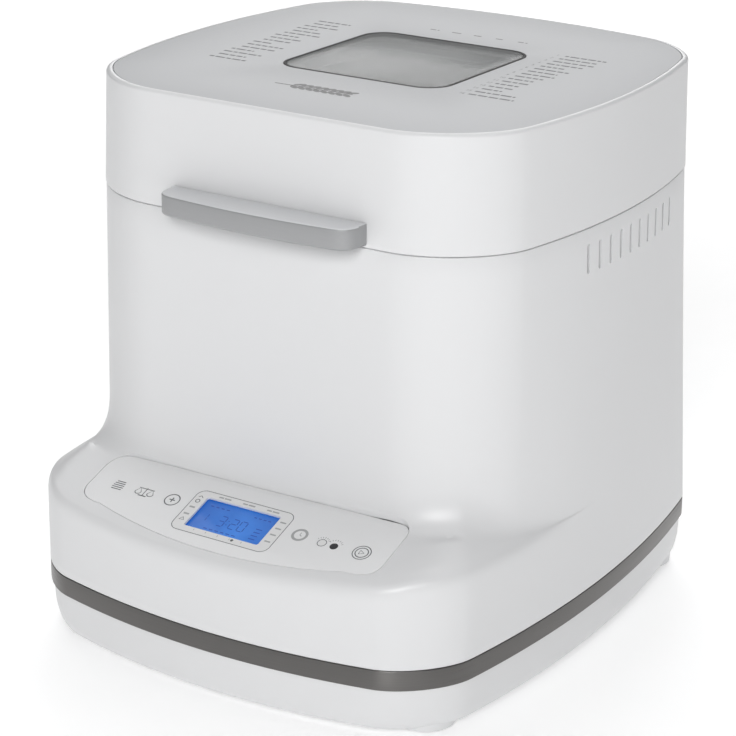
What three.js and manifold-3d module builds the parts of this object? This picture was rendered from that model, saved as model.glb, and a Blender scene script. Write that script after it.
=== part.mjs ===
// Bread machine, built the way the real one is: a plastic base and housing, a sheet-metal baking chamber,
// a belt drive, a lift-out pan with a kneading paddle, and a lid hinged at the rear.
// Millimetres, +Z up, front at -Y.
// The origin is the centre of the footprint, at the height of the soles of the rubber feet.
import * as THREE from "three";
import { mergeVertices } from "three/addons/utils/BufferGeometryUtils.js";
import Module from "manifold-3d";

const wasm = await Module();
wasm.setup();

// ---------- driving dimensions ----------
const GAP = 0.3; // air between pieces that touch on the real object
const WALL = 2.8; // moulded plastic wall

const BODY_REAR = 165.2; // rear face, and half the overall depth
const BASE_HALF_WIDTH = 145.2;
const LID_HALF_WIDTH = 138.9;
const LID_FRONT = -105.6;
const LID_SIDE_FLARE = 1.6; // how much the lid grows downwards, at each side and at the front
const LID_FRONT_FLARE = 0.6;
const TOWER_INSET = 0.3; // the tower's rim stands this far inside the lid's lower edge
const CENTRE_Y = 30.85; // axis of the pan, the drive and the window

const FOOT_HEIGHT = 3;
const TRAY_TOP = 29.1;
const BAND_BOTTOM = 29.4;
const BAND_TOP = 40.7;
const HOUSING_BOTTOM = 41;
const HOUSING_TOP = 245.4;
const LID_BOTTOM = 246.2;
const LID_TOP = 308.2;
const COVER_MARGIN = 2.6; // the white rim around the lid's grey cover

const DECK_SLOPE = THREE.MathUtils.degToRad(19.5);
const DECK_EDGE_Y = -158; // where the deck plane is DECK_EDGE_Z high
const DECK_EDGE_Z = 84;
const DECK_RIM = 89; // the most that the deck's rim rises to, on the flanks
const RIM_SLOPE = 0.55; // how steeply the deck climbs inwards from its rim on the flanks
const SHOULDER_DOWN = 8; // how far the deck's rim rounds over, down the wall and along the deck
const SHOULDER_IN = 4.5;
const HOLLOW_UP = 22; // how far up the tower the deck's hollow reaches
const HOLLOW_MIDDLE = 3.2; // how far out along the deck it reaches, in the middle and at the corners
const HOLLOW_CORNER = 14;
const FLARE_MIDDLE = 0.2; // how much the tower grows downwards, in the middle of the front and at the corners
const FLARE_CORNER = 2.4;

const LCD_Y = -135;
const LCD_SIZE = [47.5, 23.5];

const HINGE_Y = 150;
const HINGE_Z = 236;
const HINGE_X = 45; // centre of each hinge lug
const PIN_RADIUS = 2.5;
const POCKET_HALF = 110; // hinge pocket in the top rear edge of the housing
const POCKET_FRONT = 123;
const POCKET_FLOOR = 210;
const APRON_BOTTOM = 216;

const CHAMBER_HALF = 80; // inside of the baking chamber
const CHAMBER_FLOOR = 69;
const CHAMBER_FLANGE = 88;
const PAN_HALF = 65;
const PAN_FLOOR = 84;
const PAN_RIM = 204;
const BAIL_Z = 196; // pivots of the pan's handle
const BAIL_X = 70.7;
const BAIL_REACH = 71;
const WINDOW_HALF = 52.5;
const WINDOW_ROUND = 15;
const LINER_TOP = 295.5;

const MOTOR = [-109, 20];
const PULLEY_RADIUS = 42;
const MOTOR_PULLEY_RADIUS = 8;
const BELT_BOTTOM = 33;
const BELT_TOP = 39;
const BELT_THICKNESS = 2.5;
const SHAFT_RADIUS = 4;
const MOTOR_SHAFT_RADIUS = 3;
const CHASSIS_TOP = 46;

const FOOT_PLACES = [
  [-110, -118],
  [110, -118],
  [-112, 126],
  [112, 126],
];
const SCREW_PLACES = [
  [-84, -108],
  [84, -108],
  [-84, 116],
  [84, 116],
];

// ---------- solids ----------
function solid(geometry) {
  const bare = geometry.index ? geometry.toNonIndexed() : geometry.clone();
  bare.deleteAttribute("normal");
  bare.deleteAttribute("uv");
  const merged = mergeVertices(bare, 1e-4);
  return new wasm.Manifold(
    new wasm.Mesh({
      numProp: 3,
      vertProperties: new Float32Array(merged.attributes.position.array),
      triVerts: new Uint32Array(merged.index.array),
    }),
  );
}

function geometryOf(piece) {
  const mesh = piece.getMesh();
  const geometry = new THREE.BufferGeometry();
  const stride = mesh.numProp;
  const points = new Float32Array(mesh.numVert * 3);
  for (let i = 0; i < mesh.numVert; i++) {
    points.set(mesh.vertProperties.subarray(i * stride, i * stride + 3), i * 3);
  }
  geometry.setAttribute("position", new THREE.BufferAttribute(points, 3));
  geometry.setIndex(new THREE.BufferAttribute(new Uint32Array(mesh.triVerts), 1));
  geometry.computeVertexNormals();
  return geometry;
}

function join(first, ...others) {
  return others.reduce((sum, other) => sum.add(other), first);
}

function cut(first, ...tools) {
  return tools.reduce((rest, tool) => rest.subtract(tool), first);
}

// A box between two corners.
function block(low, high) {
  const size = high.map((value, i) => value - low[i]);
  const geometry = new THREE.BoxGeometry(...size);
  geometry.translate(...low.map((value, i) => value + size[i] / 2));
  return solid(geometry);
}

// An upright cylinder.
function disc(x, y, radius, bottom, top, sides = 14) {
  const geometry = new THREE.CylinderGeometry(radius, radius, top - bottom, sides);
  geometry.rotateX(Math.PI / 2);
  geometry.translate(x, y, (bottom + top) / 2);
  return solid(geometry);
}

// A cylinder lying along X or Y.
function rod(axis, from, to, radius, a, b, sides = 12) {
  const geometry = new THREE.CylinderGeometry(radius, radius, to - from, sides);
  if (axis === "x") {
    geometry.rotateZ(-Math.PI / 2);
    geometry.translate((from + to) / 2, a, b);
  } else {
    geometry.translate(a, (from + to) / 2, b);
  }
  return solid(geometry);
}

// A piece turned about an upright axis, from a closed profile of [radius, height] points.
function turned(profile, sides = 18, x = 0, y = 0) {
  const points = [...profile, profile[0]].map(([radius, height]) => new THREE.Vector2(radius, height));
  const geometry = new THREE.LatheGeometry(points, sides);
  geometry.rotateX(Math.PI / 2);
  geometry.translate(x, y, 0);
  const piece = solid(geometry);
  return piece.volume() < 0 ? solid(flipped(geometry)) : piece;
}

function flipped(geometry) {
  const turnedRound = geometry.clone();
  const index = turnedRound.index.array;
  for (let i = 0; i < index.length; i += 3) {
    [index[i], index[i + 1]] = [index[i + 1], index[i]];
  }
  return turnedRound;
}

// A flat shape given thickness.
function plate(shape, bottom, top, curveSegments = 3) {
  const geometry = new THREE.ExtrudeGeometry(shape, {
    depth: top - bottom,
    bevelEnabled: false,
    curveSegments,
  });
  geometry.translate(0, 0, bottom);
  return solid(geometry);
}

// A round bar along a curve.
function bar(path, radius, steps, sides = 8) {
  const section = new THREE.Shape();
  section.absarc(0, 0, radius, 0, 2 * Math.PI);
  const geometry = new THREE.ExtrudeGeometry(section, {
    steps,
    extrudePath: path,
    bevelEnabled: false,
    curveSegments: sides / 2,
  });
  return solid(geometry);
}

// Straight runs between corners, each corner rounded by its own radius.
function roundedPath(corners, radii) {
  const path = new THREE.CurvePath();
  let start = corners[0];
  for (let i = 1; i < corners.length - 1; i++) {
    const radius = radii[i - 1];
    const before = corners[i].clone().sub(start).normalize();
    const after = corners[i + 1].clone().sub(corners[i]).normalize();
    const entry = corners[i].clone().addScaledVector(before, -radius);
    const exit = corners[i].clone().addScaledVector(after, radius);
    path.add(new THREE.LineCurve3(start, entry));
    path.add(new THREE.QuadraticBezierCurve3(entry, corners[i], exit));
    start = exit;
  }
  path.add(new THREE.LineCurve3(start, corners[corners.length - 1]));
  return path;
}

// A rectangle with round corners, centred on a point.
function roundedRectangle(halfX, halfY, radius, x = 0, y = 0) {
  const shape = new THREE.Shape();
  const corners = [
    [x + halfX - radius, y + halfY - radius, 0],
    [x - halfX + radius, y + halfY - radius, Math.PI / 2],
    [x - halfX + radius, y - halfY + radius, Math.PI],
    [x + halfX - radius, y - halfY + radius, 1.5 * Math.PI],
  ];
  for (const [cx, cy, start] of corners) {
    shape.absarc(cx, cy, radius, start, start + Math.PI / 2);
  }
  shape.closePath();
  return shape;
}

function square(half, radius, bottom, top) {
  return plate(roundedRectangle(half, half, radius, 0, CENTRE_Y), bottom, top);
}

// ---------- the body's outlines ----------
// A rectangle with round corners whose sides bow outwards; count points per corner and per side.
function bowedOutline(outline, count = 8) {
  const { halfWidth, front, rear, frontRadius, rearRadius, sideBow, frontBow, rearBow } = outline;
  const flatHalf = halfWidth - sideBow;
  const flatFront = front + frontBow;
  const flatRear = rear - rearBow;
  const corners = [
    [1, flatRear, 1, rearRadius, 0],
    [-1, flatRear, 1, rearRadius, Math.PI / 2],
    [-1, flatFront, -1, frontRadius, Math.PI],
    [1, flatFront, -1, frontRadius, 1.5 * Math.PI],
  ];
  const arcs = corners.map(([side, y, end, radius, start]) => {
    const arc = [];
    for (let i = 0; i <= count; i++) {
      const angle = start + (i / count) * (Math.PI / 2);
      const cx = side * (flatHalf - radius);
      arc.push([cx + radius * Math.cos(angle), y - end * radius + radius * Math.sin(angle)]);
    }
    return arc;
  });
  const points = [];
  arcs.forEach((arc, i) => {
    const next = arcs[(i + 1) % 4][0];
    const last = arc[count];
    points.push(...arc);
    for (let k = 1; k < count; k++) {
      const part = k / count;
      points.push([last[0] + (next[0] - last[0]) * part, last[1] + (next[1] - last[1]) * part]);
    }
  });
  const middle = (flatFront + flatRear) / 2;
  const half = (flatRear - flatFront) / 2;
  return points.map(([x, y]) => {
    const u = x / flatHalf;
    const v = (y - middle) / half;
    const endBow = v < 0 ? frontBow : rearBow;
    return [x + sideBow * u * Math.abs(u) * (1 - v * v), y + endBow * v * Math.abs(v) * (1 - u * u)];
  });
}

const BASE_OUTLINE = {
  halfWidth: BASE_HALF_WIDTH,
  front: -BODY_REAR,
  rear: BODY_REAR,
  frontRadius: 31,
  rearRadius: 8,
  sideBow: 15.4,
  frontBow: 20.1,
  rearBow: 20.1,
};
const LID_OUTLINE = {
  halfWidth: LID_HALF_WIDTH,
  front: LID_FRONT,
  rear: BODY_REAR,
  frontRadius: 45,
  rearRadius: 31,
  sideBow: 20,
  frontBow: 0.4,
  rearBow: 14.6,
};

function inset(outline, by) {
  return {
    ...outline,
    halfWidth: outline.halfWidth - by,
    front: outline.front + by,
    rear: outline.rear - by,
  };
}

// The lid's lower edge: wider at the front and the sides, while the rear stays upright.
const LID_LOW = {
  ...LID_OUTLINE,
  halfWidth: LID_HALF_WIDTH + LID_SIDE_FLARE,
  front: LID_FRONT - LID_FRONT_FLARE,
};

// How far an outline reaches from the body's axis in one direction.
function reach(points, angle) {
  const dx = Math.cos(angle);
  const dy = Math.sin(angle);
  let best = 0;
  points.forEach(([x0, y0], i) => {
    const [x1, y1] = points[(i + 1) % points.length];
    const ay = y0 - CENTRE_Y;
    const by = y1 - CENTRE_Y;
    const sideA = dx * ay - dy * x0;
    const sideB = dx * by - dy * x1;
    if (sideA <= 0 === sideB <= 0) return;
    const part = sideA / (sideA - sideB);
    const along = (x0 + (x1 - x0) * part) * dx + (ay + (by - ay) * part) * dy;
    best = Math.max(best, along);
  });
  return best;
}

// The directions that every ring of the body is drawn in: they crowd where the outlines turn.
const RIGHT_HALF = [BASE_OUTLINE, LID_OUTLINE]
  .flatMap((outline) => bowedOutline(outline, 4))
  .map(([x, y]) => Math.atan2(y - CENTRE_Y, x))
  .filter((angle) => Math.abs(angle) < Math.PI / 2 - 0.02)
  .sort((a, b) => a - b)
  .filter((angle, i, all) => i === 0 || angle - all[i - 1] > 0.03);
const LEFT_HALF = RIGHT_HALF.map((angle) => Math.PI - angle).reverse();
const DIRECTIONS = [-Math.PI / 2, ...RIGHT_HALF, Math.PI / 2, ...LEFT_HALF];

function reaches(outline) {
  const points = bowedOutline(outline, 24);
  return DIRECTIONS.map((angle) => reach(points, angle));
}

const BASE_REACH = reaches(BASE_OUTLINE);
const TOWER_REACH = reaches(inset(LID_LOW, TOWER_INSET));

// Rings of points, one above the other, closed into a solid.
// A ring holds a [reach, height] pair for each direction.
function lofted(rings) {
  const points = [];
  const faces = [];
  const count = DIRECTIONS.length;
  for (const ring of rings) {
    DIRECTIONS.forEach((angle, i) => {
      const [out, z] = ring[i];
      points.push(out * Math.cos(angle), CENTRE_Y + out * Math.sin(angle), z);
    });
  }
  for (let ring = 0; ring + 1 < rings.length; ring++) {
    for (let i = 0; i < count; i++) {
      const a = ring * count + i;
      const b = ring * count + ((i + 1) % count);
      faces.push(a, b, b + count, a, b + count, a + count);
    }
  }
  const last = rings.length - 1;
  points.push(0, CENTRE_Y, rings[0][0][1], 0, CENTRE_Y, rings[last][0][1]);
  const bottomCentre = rings.length * count;
  for (let i = 0; i < count; i++) {
    const next = (i + 1) % count;
    faces.push(bottomCentre, next, i);
    faces.push(bottomCentre + 1, last * count + i, last * count + next);
  }
  const geometry = new THREE.BufferGeometry();
  geometry.setAttribute("position", new THREE.Float32BufferAttribute(points, 3));
  geometry.setIndex(faces);
  return solid(geometry);
}

// A level ring on an outline drawn in by a margin.
function levelRing(outline, by, z) {
  return reaches(inset(outline, by)).map((out) => [out, z]);
}

// A straight-sided prism on one of the outlines.
function prism(outline, bottom, top) {
  return lofted([levelRing(outline, 0, bottom), levelRing(outline, 0, top)]);
}

function smoothStep(low, high, value) {
  const t = THREE.MathUtils.clamp((value - low) / (high - low), 0, 1);
  return t * t * (3 - 2 * t);
}

// The height of the deck at some reach: a slope rising to the rear, which dips towards its rim on the flanks.
function deckHeight(i, out) {
  const heightAt = (y) => DECK_EDGE_Z + (y - DECK_EDGE_Y) * Math.tan(DECK_SLOPE);
  const sine = Math.sin(DIRECTIONS[i]);
  const plane = heightAt(CENTRE_Y + out * sine);
  const rim = Math.min(heightAt(CENTRE_Y + BASE_REACH[i] * sine), DECK_RIM);
  const flankSlope = rim + RIM_SLOPE * (BASE_REACH[i] - out);
  const blend = Math.max(2 - Math.abs(plane - flankSlope), 0);
  return Math.min(plane, flankSlope) - (blend * blend) / 8;
}

function curveThrough(start, corner, end, steps) {
  const curve = new THREE.QuadraticBezierCurve(start, corner, end);
  return curve.getPoints(steps);
}

// The housing's section in one direction, from its lower edge to its rim: up the base, over the rounded
// shoulder, up the sloping deck, through a hollow and up the tower.
// On the flanks the deck narrows to nothing.
function housingSection(i, shrink) {
  const { lerp } = THREE.MathUtils;
  const angle = DIRECTIONS[i];
  const towerX = Math.abs(TOWER_REACH[i] * Math.cos(angle));
  const towerY = CENTRE_Y + TOWER_REACH[i] * Math.sin(angle);
  const flank = smoothStep(-75, 0, towerY);
  const cornering = smoothStep(20, 110, towerX);
  const rise = (z) => (z - HOUSING_BOTTOM) / (HOUSING_TOP - HOUSING_BOTTOM);
  const frontLow = TOWER_REACH[i] + lerp(FLARE_MIDDLE, FLARE_CORNER, cornering);
  const towerLow = lerp(frontLow, BASE_REACH[i], flank);
  const tower = (z) => lerp(towerLow, TOWER_REACH[i], rise(z)) - shrink;
  const baseHigh = lerp(BASE_REACH[i], TOWER_REACH[i], flank);
  const base = (z) => lerp(BASE_REACH[i], baseHigh, rise(z)) - shrink;
  const onDeck = (wall) => {
    let z = 90;
    for (let k = 0; k < 12; k++) {
      z = deckHeight(i, wall(z)) - shrink / Math.cos(DECK_SLOPE);
    }
    return new THREE.Vector2(wall(z), z);
  };
  const shoulder = onDeck(base);
  const hollow = onDeck(tower);
  const width = shoulder.distanceTo(hollow);
  const towards = (from, to, distance) => from.clone().lerp(to, distance / Math.max(width, 1e-6));
  const below = new THREE.Vector2(base(shoulder.y - SHOULDER_DOWN), shoulder.y - SHOULDER_DOWN);
  const above = new THREE.Vector2(tower(hollow.y + HOLLOW_UP), hollow.y + HOLLOW_UP);
  const edge = towards(shoulder, hollow, Math.min(SHOULDER_IN, width * 0.4));
  const hollowOut = lerp(HOLLOW_MIDDLE, HOLLOW_CORNER, cornering);
  const foot = towards(hollow, shoulder, Math.min(hollowOut, width * 0.5));
  const bend = foot.clone().lerp(edge, 0.5);
  bend.y = deckHeight(i, bend.x + shrink) - shrink / Math.cos(DECK_SLOPE);
  return [
    ...curveThrough(below, shoulder, edge, 3),
    bend,
    ...curveThrough(foot, hollow, above, 4),
  ].map((point) => [point.x, point.y]);
}

function housingSkin(shrink, bottom, top) {
  const sections = DIRECTIONS.map((angle, i) => housingSection(i, shrink));
  const rings = sections[0].map((pair, k) => sections.map((section) => section[k]));
  const level = (reach, z) => reach.map((out) => [out - shrink, z]);
  return lofted([level(BASE_REACH, bottom), ...rings, level(TOWER_REACH, top)]);
}

// Moves a piece made flat, with its top at height 0, onto the deck; its origin goes to the display's middle.
function ontoDeck(piece) {
  const geometry = geometryOf(piece);
  geometry.rotateX(DECK_SLOPE);
  const z = DECK_EDGE_Z + (LCD_Y - DECK_EDGE_Y) * Math.tan(DECK_SLOPE);
  geometry.translate(0, LCD_Y, z);
  return solid(geometry);
}

// ---------- base ----------
function baseTray() {
  const ring = (by, z) => levelRing(BASE_OUTLINE, by, z);
  const outside = lofted([
    ring(9, FOOT_HEIGHT),
    ring(5, 4.2),
    ring(3.2, 7.5),
    ring(1.6, 15),
    ring(0.5, TRAY_TOP),
  ]);
  const inside = lofted([ring(9 + WALL, 6), ring(3 + WALL, 13), ring(1 + WALL, TRAY_TOP + 1)]);
  const bosses = SCREW_PLACES.map(([x, y]) => disc(x, y, 7, 5, CHASSIS_TOP - 2 - GAP, 10));
  const pads = FOOT_PLACES.map(([x, y]) => disc(x, y, 17, 1.5, 9, 16));
  const holes = SCREW_PLACES.map(([x, y]) => disc(x, y, 2.4, 0, CHASSIS_TOP, 8));
  const sinks = SCREW_PLACES.map(([x, y]) => disc(x, y, 5, 0, 8, 12));
  const seats = FOOT_PLACES.map(([x, y]) => disc(x, y, 11.4, 0, 4.8, 16));
  return cut(join(cut(outside, inside), ...bosses, ...pads), ...holes, ...sinks, ...seats);
}

function rubberFoot() {
  return turned([
    [0, 0],
    [9.6, 0],
    [11, 1.2],
    [11, 4.5],
    [0, 4.5],
  ]);
}

function screw(headRadius, shankRadius, headHeight, length) {
  return turned(
    [
      [0, 0],
      [headRadius * 0.8, 0],
      [headRadius, headHeight * 0.4],
      [headRadius, headHeight],
      [shankRadius, headHeight],
      [shankRadius, length],
      [0, length + shankRadius],
    ],
    10,
  );
}

function trimBand() {
  const outside = prism(BASE_OUTLINE, BAND_BOTTOM, BAND_TOP);
  return cut(outside, prism(inset(BASE_OUTLINE, 2), BAND_BOTTOM - 1, BAND_TOP + 1));
}

// ---------- housing ----------
function hingeLugs() {
  return [-HINGE_X, HINGE_X].map((x) => {
    const arm = block([x - 5, POCKET_FRONT - 1, HINGE_Z - 6], [x + 5, HINGE_Y, HINGE_Z + 6]);
    const eye = rod("x", x - 5, x + 5, 6, HINGE_Y, HINGE_Z, 12);
    return cut(join(arm, eye), rod("x", x - 6, x + 6, PIN_RADIUS + GAP, HINGE_Y, HINGE_Z, 12));
  });
}

function ventSlots() {
  const slots = [];
  const pitch = 11.4;
  for (let i = 0; i < 10; i++) {
    const y = -11 + i * pitch;
    for (const [low, high] of [
      [-150, -120],
      [120, 150],
    ]) {
      slots.push(block([low, y - 1.4, 221], [high, y + 1.4, 237]));
    }
  }
  return slots;
}

function housing() {
  const inside = housingSkin(WALL, HOUSING_BOTTOM - 1, HOUSING_TOP - 5.2);
  const pocket = (wall) =>
    block([-POCKET_HALF - wall, POCKET_FRONT - wall, POCKET_FLOOR - wall], [POCKET_HALF + wall, 180, 260]);
  const shell = cut(housingSkin(0, HOUSING_BOTTOM, HOUSING_TOP), cut(inside, pocket(2)), pocket(0));
  const rimStep = cut(
    prism(inset(LID_LOW, TOWER_INSET + WALL), HOUSING_TOP - 2.4, HOUSING_TOP + 5),
    pocket(2),
  );
  const opening = square(CHAMBER_HALF + 4, 28, 230, 260);
  const displayHole = ontoDeck(plate(roundedRectangle(25.5, 13.5, 1.5), -12, 4));
  const panelRecess = ontoDeck(plate(panelShape(GAP), -1.5, 8));
  const glandHole = rod("y", 120, 180, 6.3, 96, 62);
  const glandSeat = rod("y", 153.8, 180, 9, 96, 62);
  return cut(
    join(shell, ...hingeLugs()),
    rimStep,
    opening,
    displayHole,
    panelRecess,
    glandHole,
    glandSeat,
    ...ventSlots(),
  );
}

// Outline of the control panel in its own plane: X along the deck, Y up the slope, origin at the display.
function panelShape(grow) {
  const shape = new THREE.Shape();
  const left = -95 - grow;
  const right = 95 + grow;
  const rearLeft = 26.5 + grow;
  const rearRight = 29 + grow;
  const front = -13 - grow;
  const bow = -24.5 - grow;
  shape.moveTo(left + 14, rearLeft);
  shape.quadraticCurveTo(left, rearLeft, left, rearLeft - 14);
  shape.lineTo(left, front + 12);
  shape.quadraticCurveTo(left, front, left + 16, front);
  shape.quadraticCurveTo(2, bow * 2 - front, right - 16, front);
  shape.quadraticCurveTo(right, front, right, front + 12);
  shape.lineTo(right, rearRight - 8);
  shape.quadraticCurveTo(right, rearRight, right - 8, rearRight);
  shape.closePath();
  return shape;
}

function controlPanel() {
  const sheet = plate(panelShape(0), -1.2, 0);
  const hole = plate(roundedRectangle(LCD_SIZE[0] / 2, LCD_SIZE[1] / 2, 1.2), -3, 3);
  return ontoDeck(cut(sheet, hole));
}

function lcdModule() {
  const glass = plate(roundedRectangle(25, 13, 1.2), -6, -1.8);
  const frame = plate(roundedRectangle(31, 17, 1), -10, -5.4);
  return ontoDeck(join(glass, frame));
}

function controlBoard() {
  const board = plate(roundedRectangle(82, 19, 2), -14, -12.4);
  const socket = plate(roundedRectangle(12, 4, 0.5, 40, -6), -20, -13);
  const chip = plate(roundedRectangle(8, 8, 0.5, -20, 2), -16, -13);
  return ontoDeck(join(board, socket, chip));
}

function cordGland() {
  const body = turned([
    [3.2, 0],
    [8, 0],
    [8.6, 2],
    [8.6, 3.4],
    [6, 3.4],
    [6, 14],
    [3.2, 14],
  ]);
  const geometry = geometryOf(body);
  geometry.rotateX(Math.PI / 2);
  return geometry;
}

// ---------- baking chamber ----------
function chamber() {
  const outside = join(
    square(CHAMBER_HALF + 1, 26, CHAMBER_FLOOR - 1, HOUSING_TOP - 1.5),
    square(CHAMBER_FLANGE, 30, HOUSING_TOP - 2.1, HOUSING_TOP - 1.1),
  );
  const wallHoles = [24, 36].map((y) => rod("x", 70, 95, 4.6, y, 98));
  return cut(
    outside,
    square(CHAMBER_HALF, 25, CHAMBER_FLOOR, 260),
    disc(0, CENTRE_Y, 16, 60, 75),
    rod("y", CENTRE_Y - 90, CENTRE_Y - 70, 4.4, 34, 122),
    ...wallHoles,
  );
}

function heatingElement() {
  const z = 98;
  const half = 73;
  const at = (x, y) => new THREE.Vector3(x, y, z);
  const path = roundedPath(
    [
      at(96, 36),
      at(half, 36),
      at(half, CENTRE_Y + half),
      at(-half, CENTRE_Y + half),
      at(-half, CENTRE_Y - half),
      at(half, CENTRE_Y - half),
      at(half, 24),
      at(96, 24),
    ],
    [5.5, 24, 24, 24, 24, 5.5],
  );
  return bar(path, 3.2, 72, 6);
}

function temperatureSensor() {
  const geometry = geometryOf(
    turned([
      [0, 0],
      [3.2, 0],
      [4, 1],
      [4, 9.6],
      [7, 9.6],
      [7, 11.4],
      [4, 11.4],
      [4, 18],
      [0, 18],
    ]),
  );
  geometry.rotateX(Math.PI / 2);
  return geometry;
}

function thermalFuse() {
  return join(rod("y", 58, 84, 3.4, 86.6, 150), block([82.4, 66, 148.5], [86.6, 76, 151.5]));
}

function panSeat() {
  return turned(
    [
      [41.5, 0],
      [47, 0],
      [47, 1.5],
      [43.6, 1.5],
      [43.6, 9],
      [41.5, 9],
    ],
    30,
  );
}

function panClip() {
  const base = block([0, -7, 0], [10, 7, 0.8]);
  const spring = block([0, -7, 0], [0.8, 7, 10.5]);
  const lip = block([-1.2, -7, 9.7], [0.8, 7, 10.5]);
  return join(base, spring, lip);
}

// ---------- drive ----------
function chassisPlate() {
  const sheet = plate(roundedRectangle(128, 118, 22, 0, 6), CHASSIS_TOP - 2, CHASSIS_TOP, 4);
  return cut(
    sheet,
    disc(0, CENTRE_Y, 9, 40, 50),
    disc(MOTOR[0], MOTOR[1], 7, 40, 50),
    ...SCREW_PLACES.map(([x, y]) => disc(x, y, 2.4, 40, 50, 8)),
    plate(roundedRectangle(30, 12, 6, 40, -70), 40, 50, 3),
    plate(roundedRectangle(26, 14, 6, 86, 60), 40, 50, 3),
  );
}

function shaftBearing() {
  return turned([
    [SHAFT_RADIUS + 0.4, CHASSIS_TOP - 4.6],
    [8, CHASSIS_TOP - 4.6],
    [8, CHASSIS_TOP + GAP],
    [20, CHASSIS_TOP + GAP],
    [20, CHASSIS_TOP + 3],
    [11, CHASSIS_TOP + 6],
    [11, CHAMBER_FLOOR - 4],
    [22, CHAMBER_FLOOR - 3],
    [22, CHAMBER_FLOOR - 1 - GAP],
    [10, CHAMBER_FLOOR - 1 - GAP],
    [10, CHAMBER_FLOOR + 1],
    [SHAFT_RADIUS + 0.4, CHAMBER_FLOOR + 1],
  ]);
}

function driveShaft() {
  return turned([
    [0, 30],
    [SHAFT_RADIUS, 30],
    [SHAFT_RADIUS, 73.6],
    [0, 73.6],
  ]);
}

// A pulley with a flange above and below the belt.
function pulley(radius, bore, sides) {
  return turned(
    [
      [bore, BELT_BOTTOM - 2],
      [radius + 3, BELT_BOTTOM - 2],
      [radius + 3, BELT_BOTTOM - 0.4],
      [radius, BELT_BOTTOM - 0.4],
      [radius, BELT_TOP + 0.4],
      [radius + 3, BELT_TOP + 0.4],
      [radius + 3, BELT_TOP + 1.8],
      [bore, BELT_TOP + 1.8],
    ],
    sides,
  );
}

function largePulley() {
  const wheel = pulley(PULLEY_RADIUS, SHAFT_RADIUS + GAP, 32);
  const windows = [];
  for (let i = 0; i < 5; i++) {
    const angle = (i * 2 * Math.PI) / 5;
    windows.push(disc(25 * Math.cos(angle), 25 * Math.sin(angle), 9, 20, 50, 12));
  }
  return cut(wheel, ...windows);
}

// A loop held around two circles at a given distance from their edges.
function loopShape(distance) {
  const dx = MOTOR[0];
  const dy = MOTOR[1] - CENTRE_Y;
  const direction = Math.atan2(dy, dx);
  const spread = Math.acos((PULLEY_RADIUS - MOTOR_PULLEY_RADIUS) / Math.hypot(dx, dy));
  const shape = new THREE.Shape();
  const big = PULLEY_RADIUS + distance;
  const small = MOTOR_PULLEY_RADIUS + distance;
  shape.absarc(0, CENTRE_Y, big, direction + spread, direction - spread + 2 * Math.PI);
  shape.absarc(MOTOR[0], MOTOR[1], small, direction - spread, direction + spread);
  shape.closePath();
  return shape;
}

function driveBelt() {
  const outer = plate(loopShape(GAP + BELT_THICKNESS), BELT_BOTTOM, BELT_TOP, 9);
  return cut(outer, plate(loopShape(GAP), BELT_BOTTOM - 1, BELT_TOP + 1, 9));
}

function driveCoupling() {
  const disk = turned([
    [SHAFT_RADIUS + GAP, 70.8],
    [15, 70.8],
    [15, 73],
    [SHAFT_RADIUS + GAP, 73],
  ]);
  const lugs = [-1, 1].map((side) =>
    block([side * 11.5 - 2.5, -4, 72], [side * 11.5 + 2.5, 4, 79.6]),
  );
  return join(disk, ...lugs);
}

function motorHousing() {
  return turned([
    [MOTOR_SHAFT_RADIUS + 0.4, CHASSIS_TOP + GAP],
    [11, CHASSIS_TOP + GAP],
    [12, CHASSIS_TOP + 5],
    [22, CHASSIS_TOP + 6],
    [24, CHASSIS_TOP + 9],
    [24, 102],
    [21, 105],
    [9, 106],
    [8, 110],
    [MOTOR_SHAFT_RADIUS + 0.4, 110],
  ]);
}

function motorFan() {
  const hub = turned([
    [MOTOR_SHAFT_RADIUS + GAP, 112],
    [7, 112],
    [7, 121],
    [MOTOR_SHAFT_RADIUS + GAP, 121],
  ]);
  const blades = [];
  for (let i = 0; i < 7; i++) {
    const geometry = new THREE.BoxGeometry(15, 1.4, 8);
    geometry.rotateX(0.5);
    geometry.translate(13.5, 0, 116.5);
    geometry.rotateZ((i * 2 * Math.PI) / 7);
    blades.push(solid(geometry));
  }
  return join(hub, ...blades);
}

function capacitor() {
  return turned([
    [0, 0],
    [13, 0],
    [14, 1],
    [14, 40],
    [13, 41],
    [3, 41],
    [3, 44],
    [0, 44],
  ]);
}

function powerBoard() {
  return join(
    block([0, -42, 0], [1.6, 42, 64]),
    block([-18, -34, 6], [0.4, -8, 30]),
    block([-13, 6, 8], [0.4, 24, 24]),
    rod("x", -16, 0.4, 6, 30, 44),
    block([-9, -30, 40], [0.4, 10, 52]),
  );
}

// ---------- pan ----------
function breadPan() {
  const body = join(
    square(PAN_HALF, 19, PAN_FLOOR, PAN_RIM),
    square(PAN_HALF + 2.5, 21, PAN_RIM - 1.6, PAN_RIM),
  );
  const inside = square(PAN_HALF - 1.6, 17.4, PAN_FLOOR + 1.6, PAN_RIM + 5);
  const pivots = [-1, 1].flatMap((side) => {
    const from = side > 0 ? PAN_HALF - 1 : -PAN_HALF - 9.5;
    const head = side > 0 ? PAN_HALF + 7.8 : -PAN_HALF - 9.5;
    return [
      rod("x", from, from + 10.5, 2, CENTRE_Y, BAIL_Z),
      rod("x", head, head + 1.7, 3.6, CENTRE_Y, BAIL_Z),
    ];
  });
  return cut(join(cut(body, inside), ...pivots), disc(0, CENTRE_Y, 9.4, 70, 95));
}

function panSkirt() {
  return turned(
    [
      [37, 0],
      [39.6, 0],
      [39.6, 8.2],
      [50, 8.2],
      [50, 9.7],
      [37, 9.7],
    ],
    30,
  );
}

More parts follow.
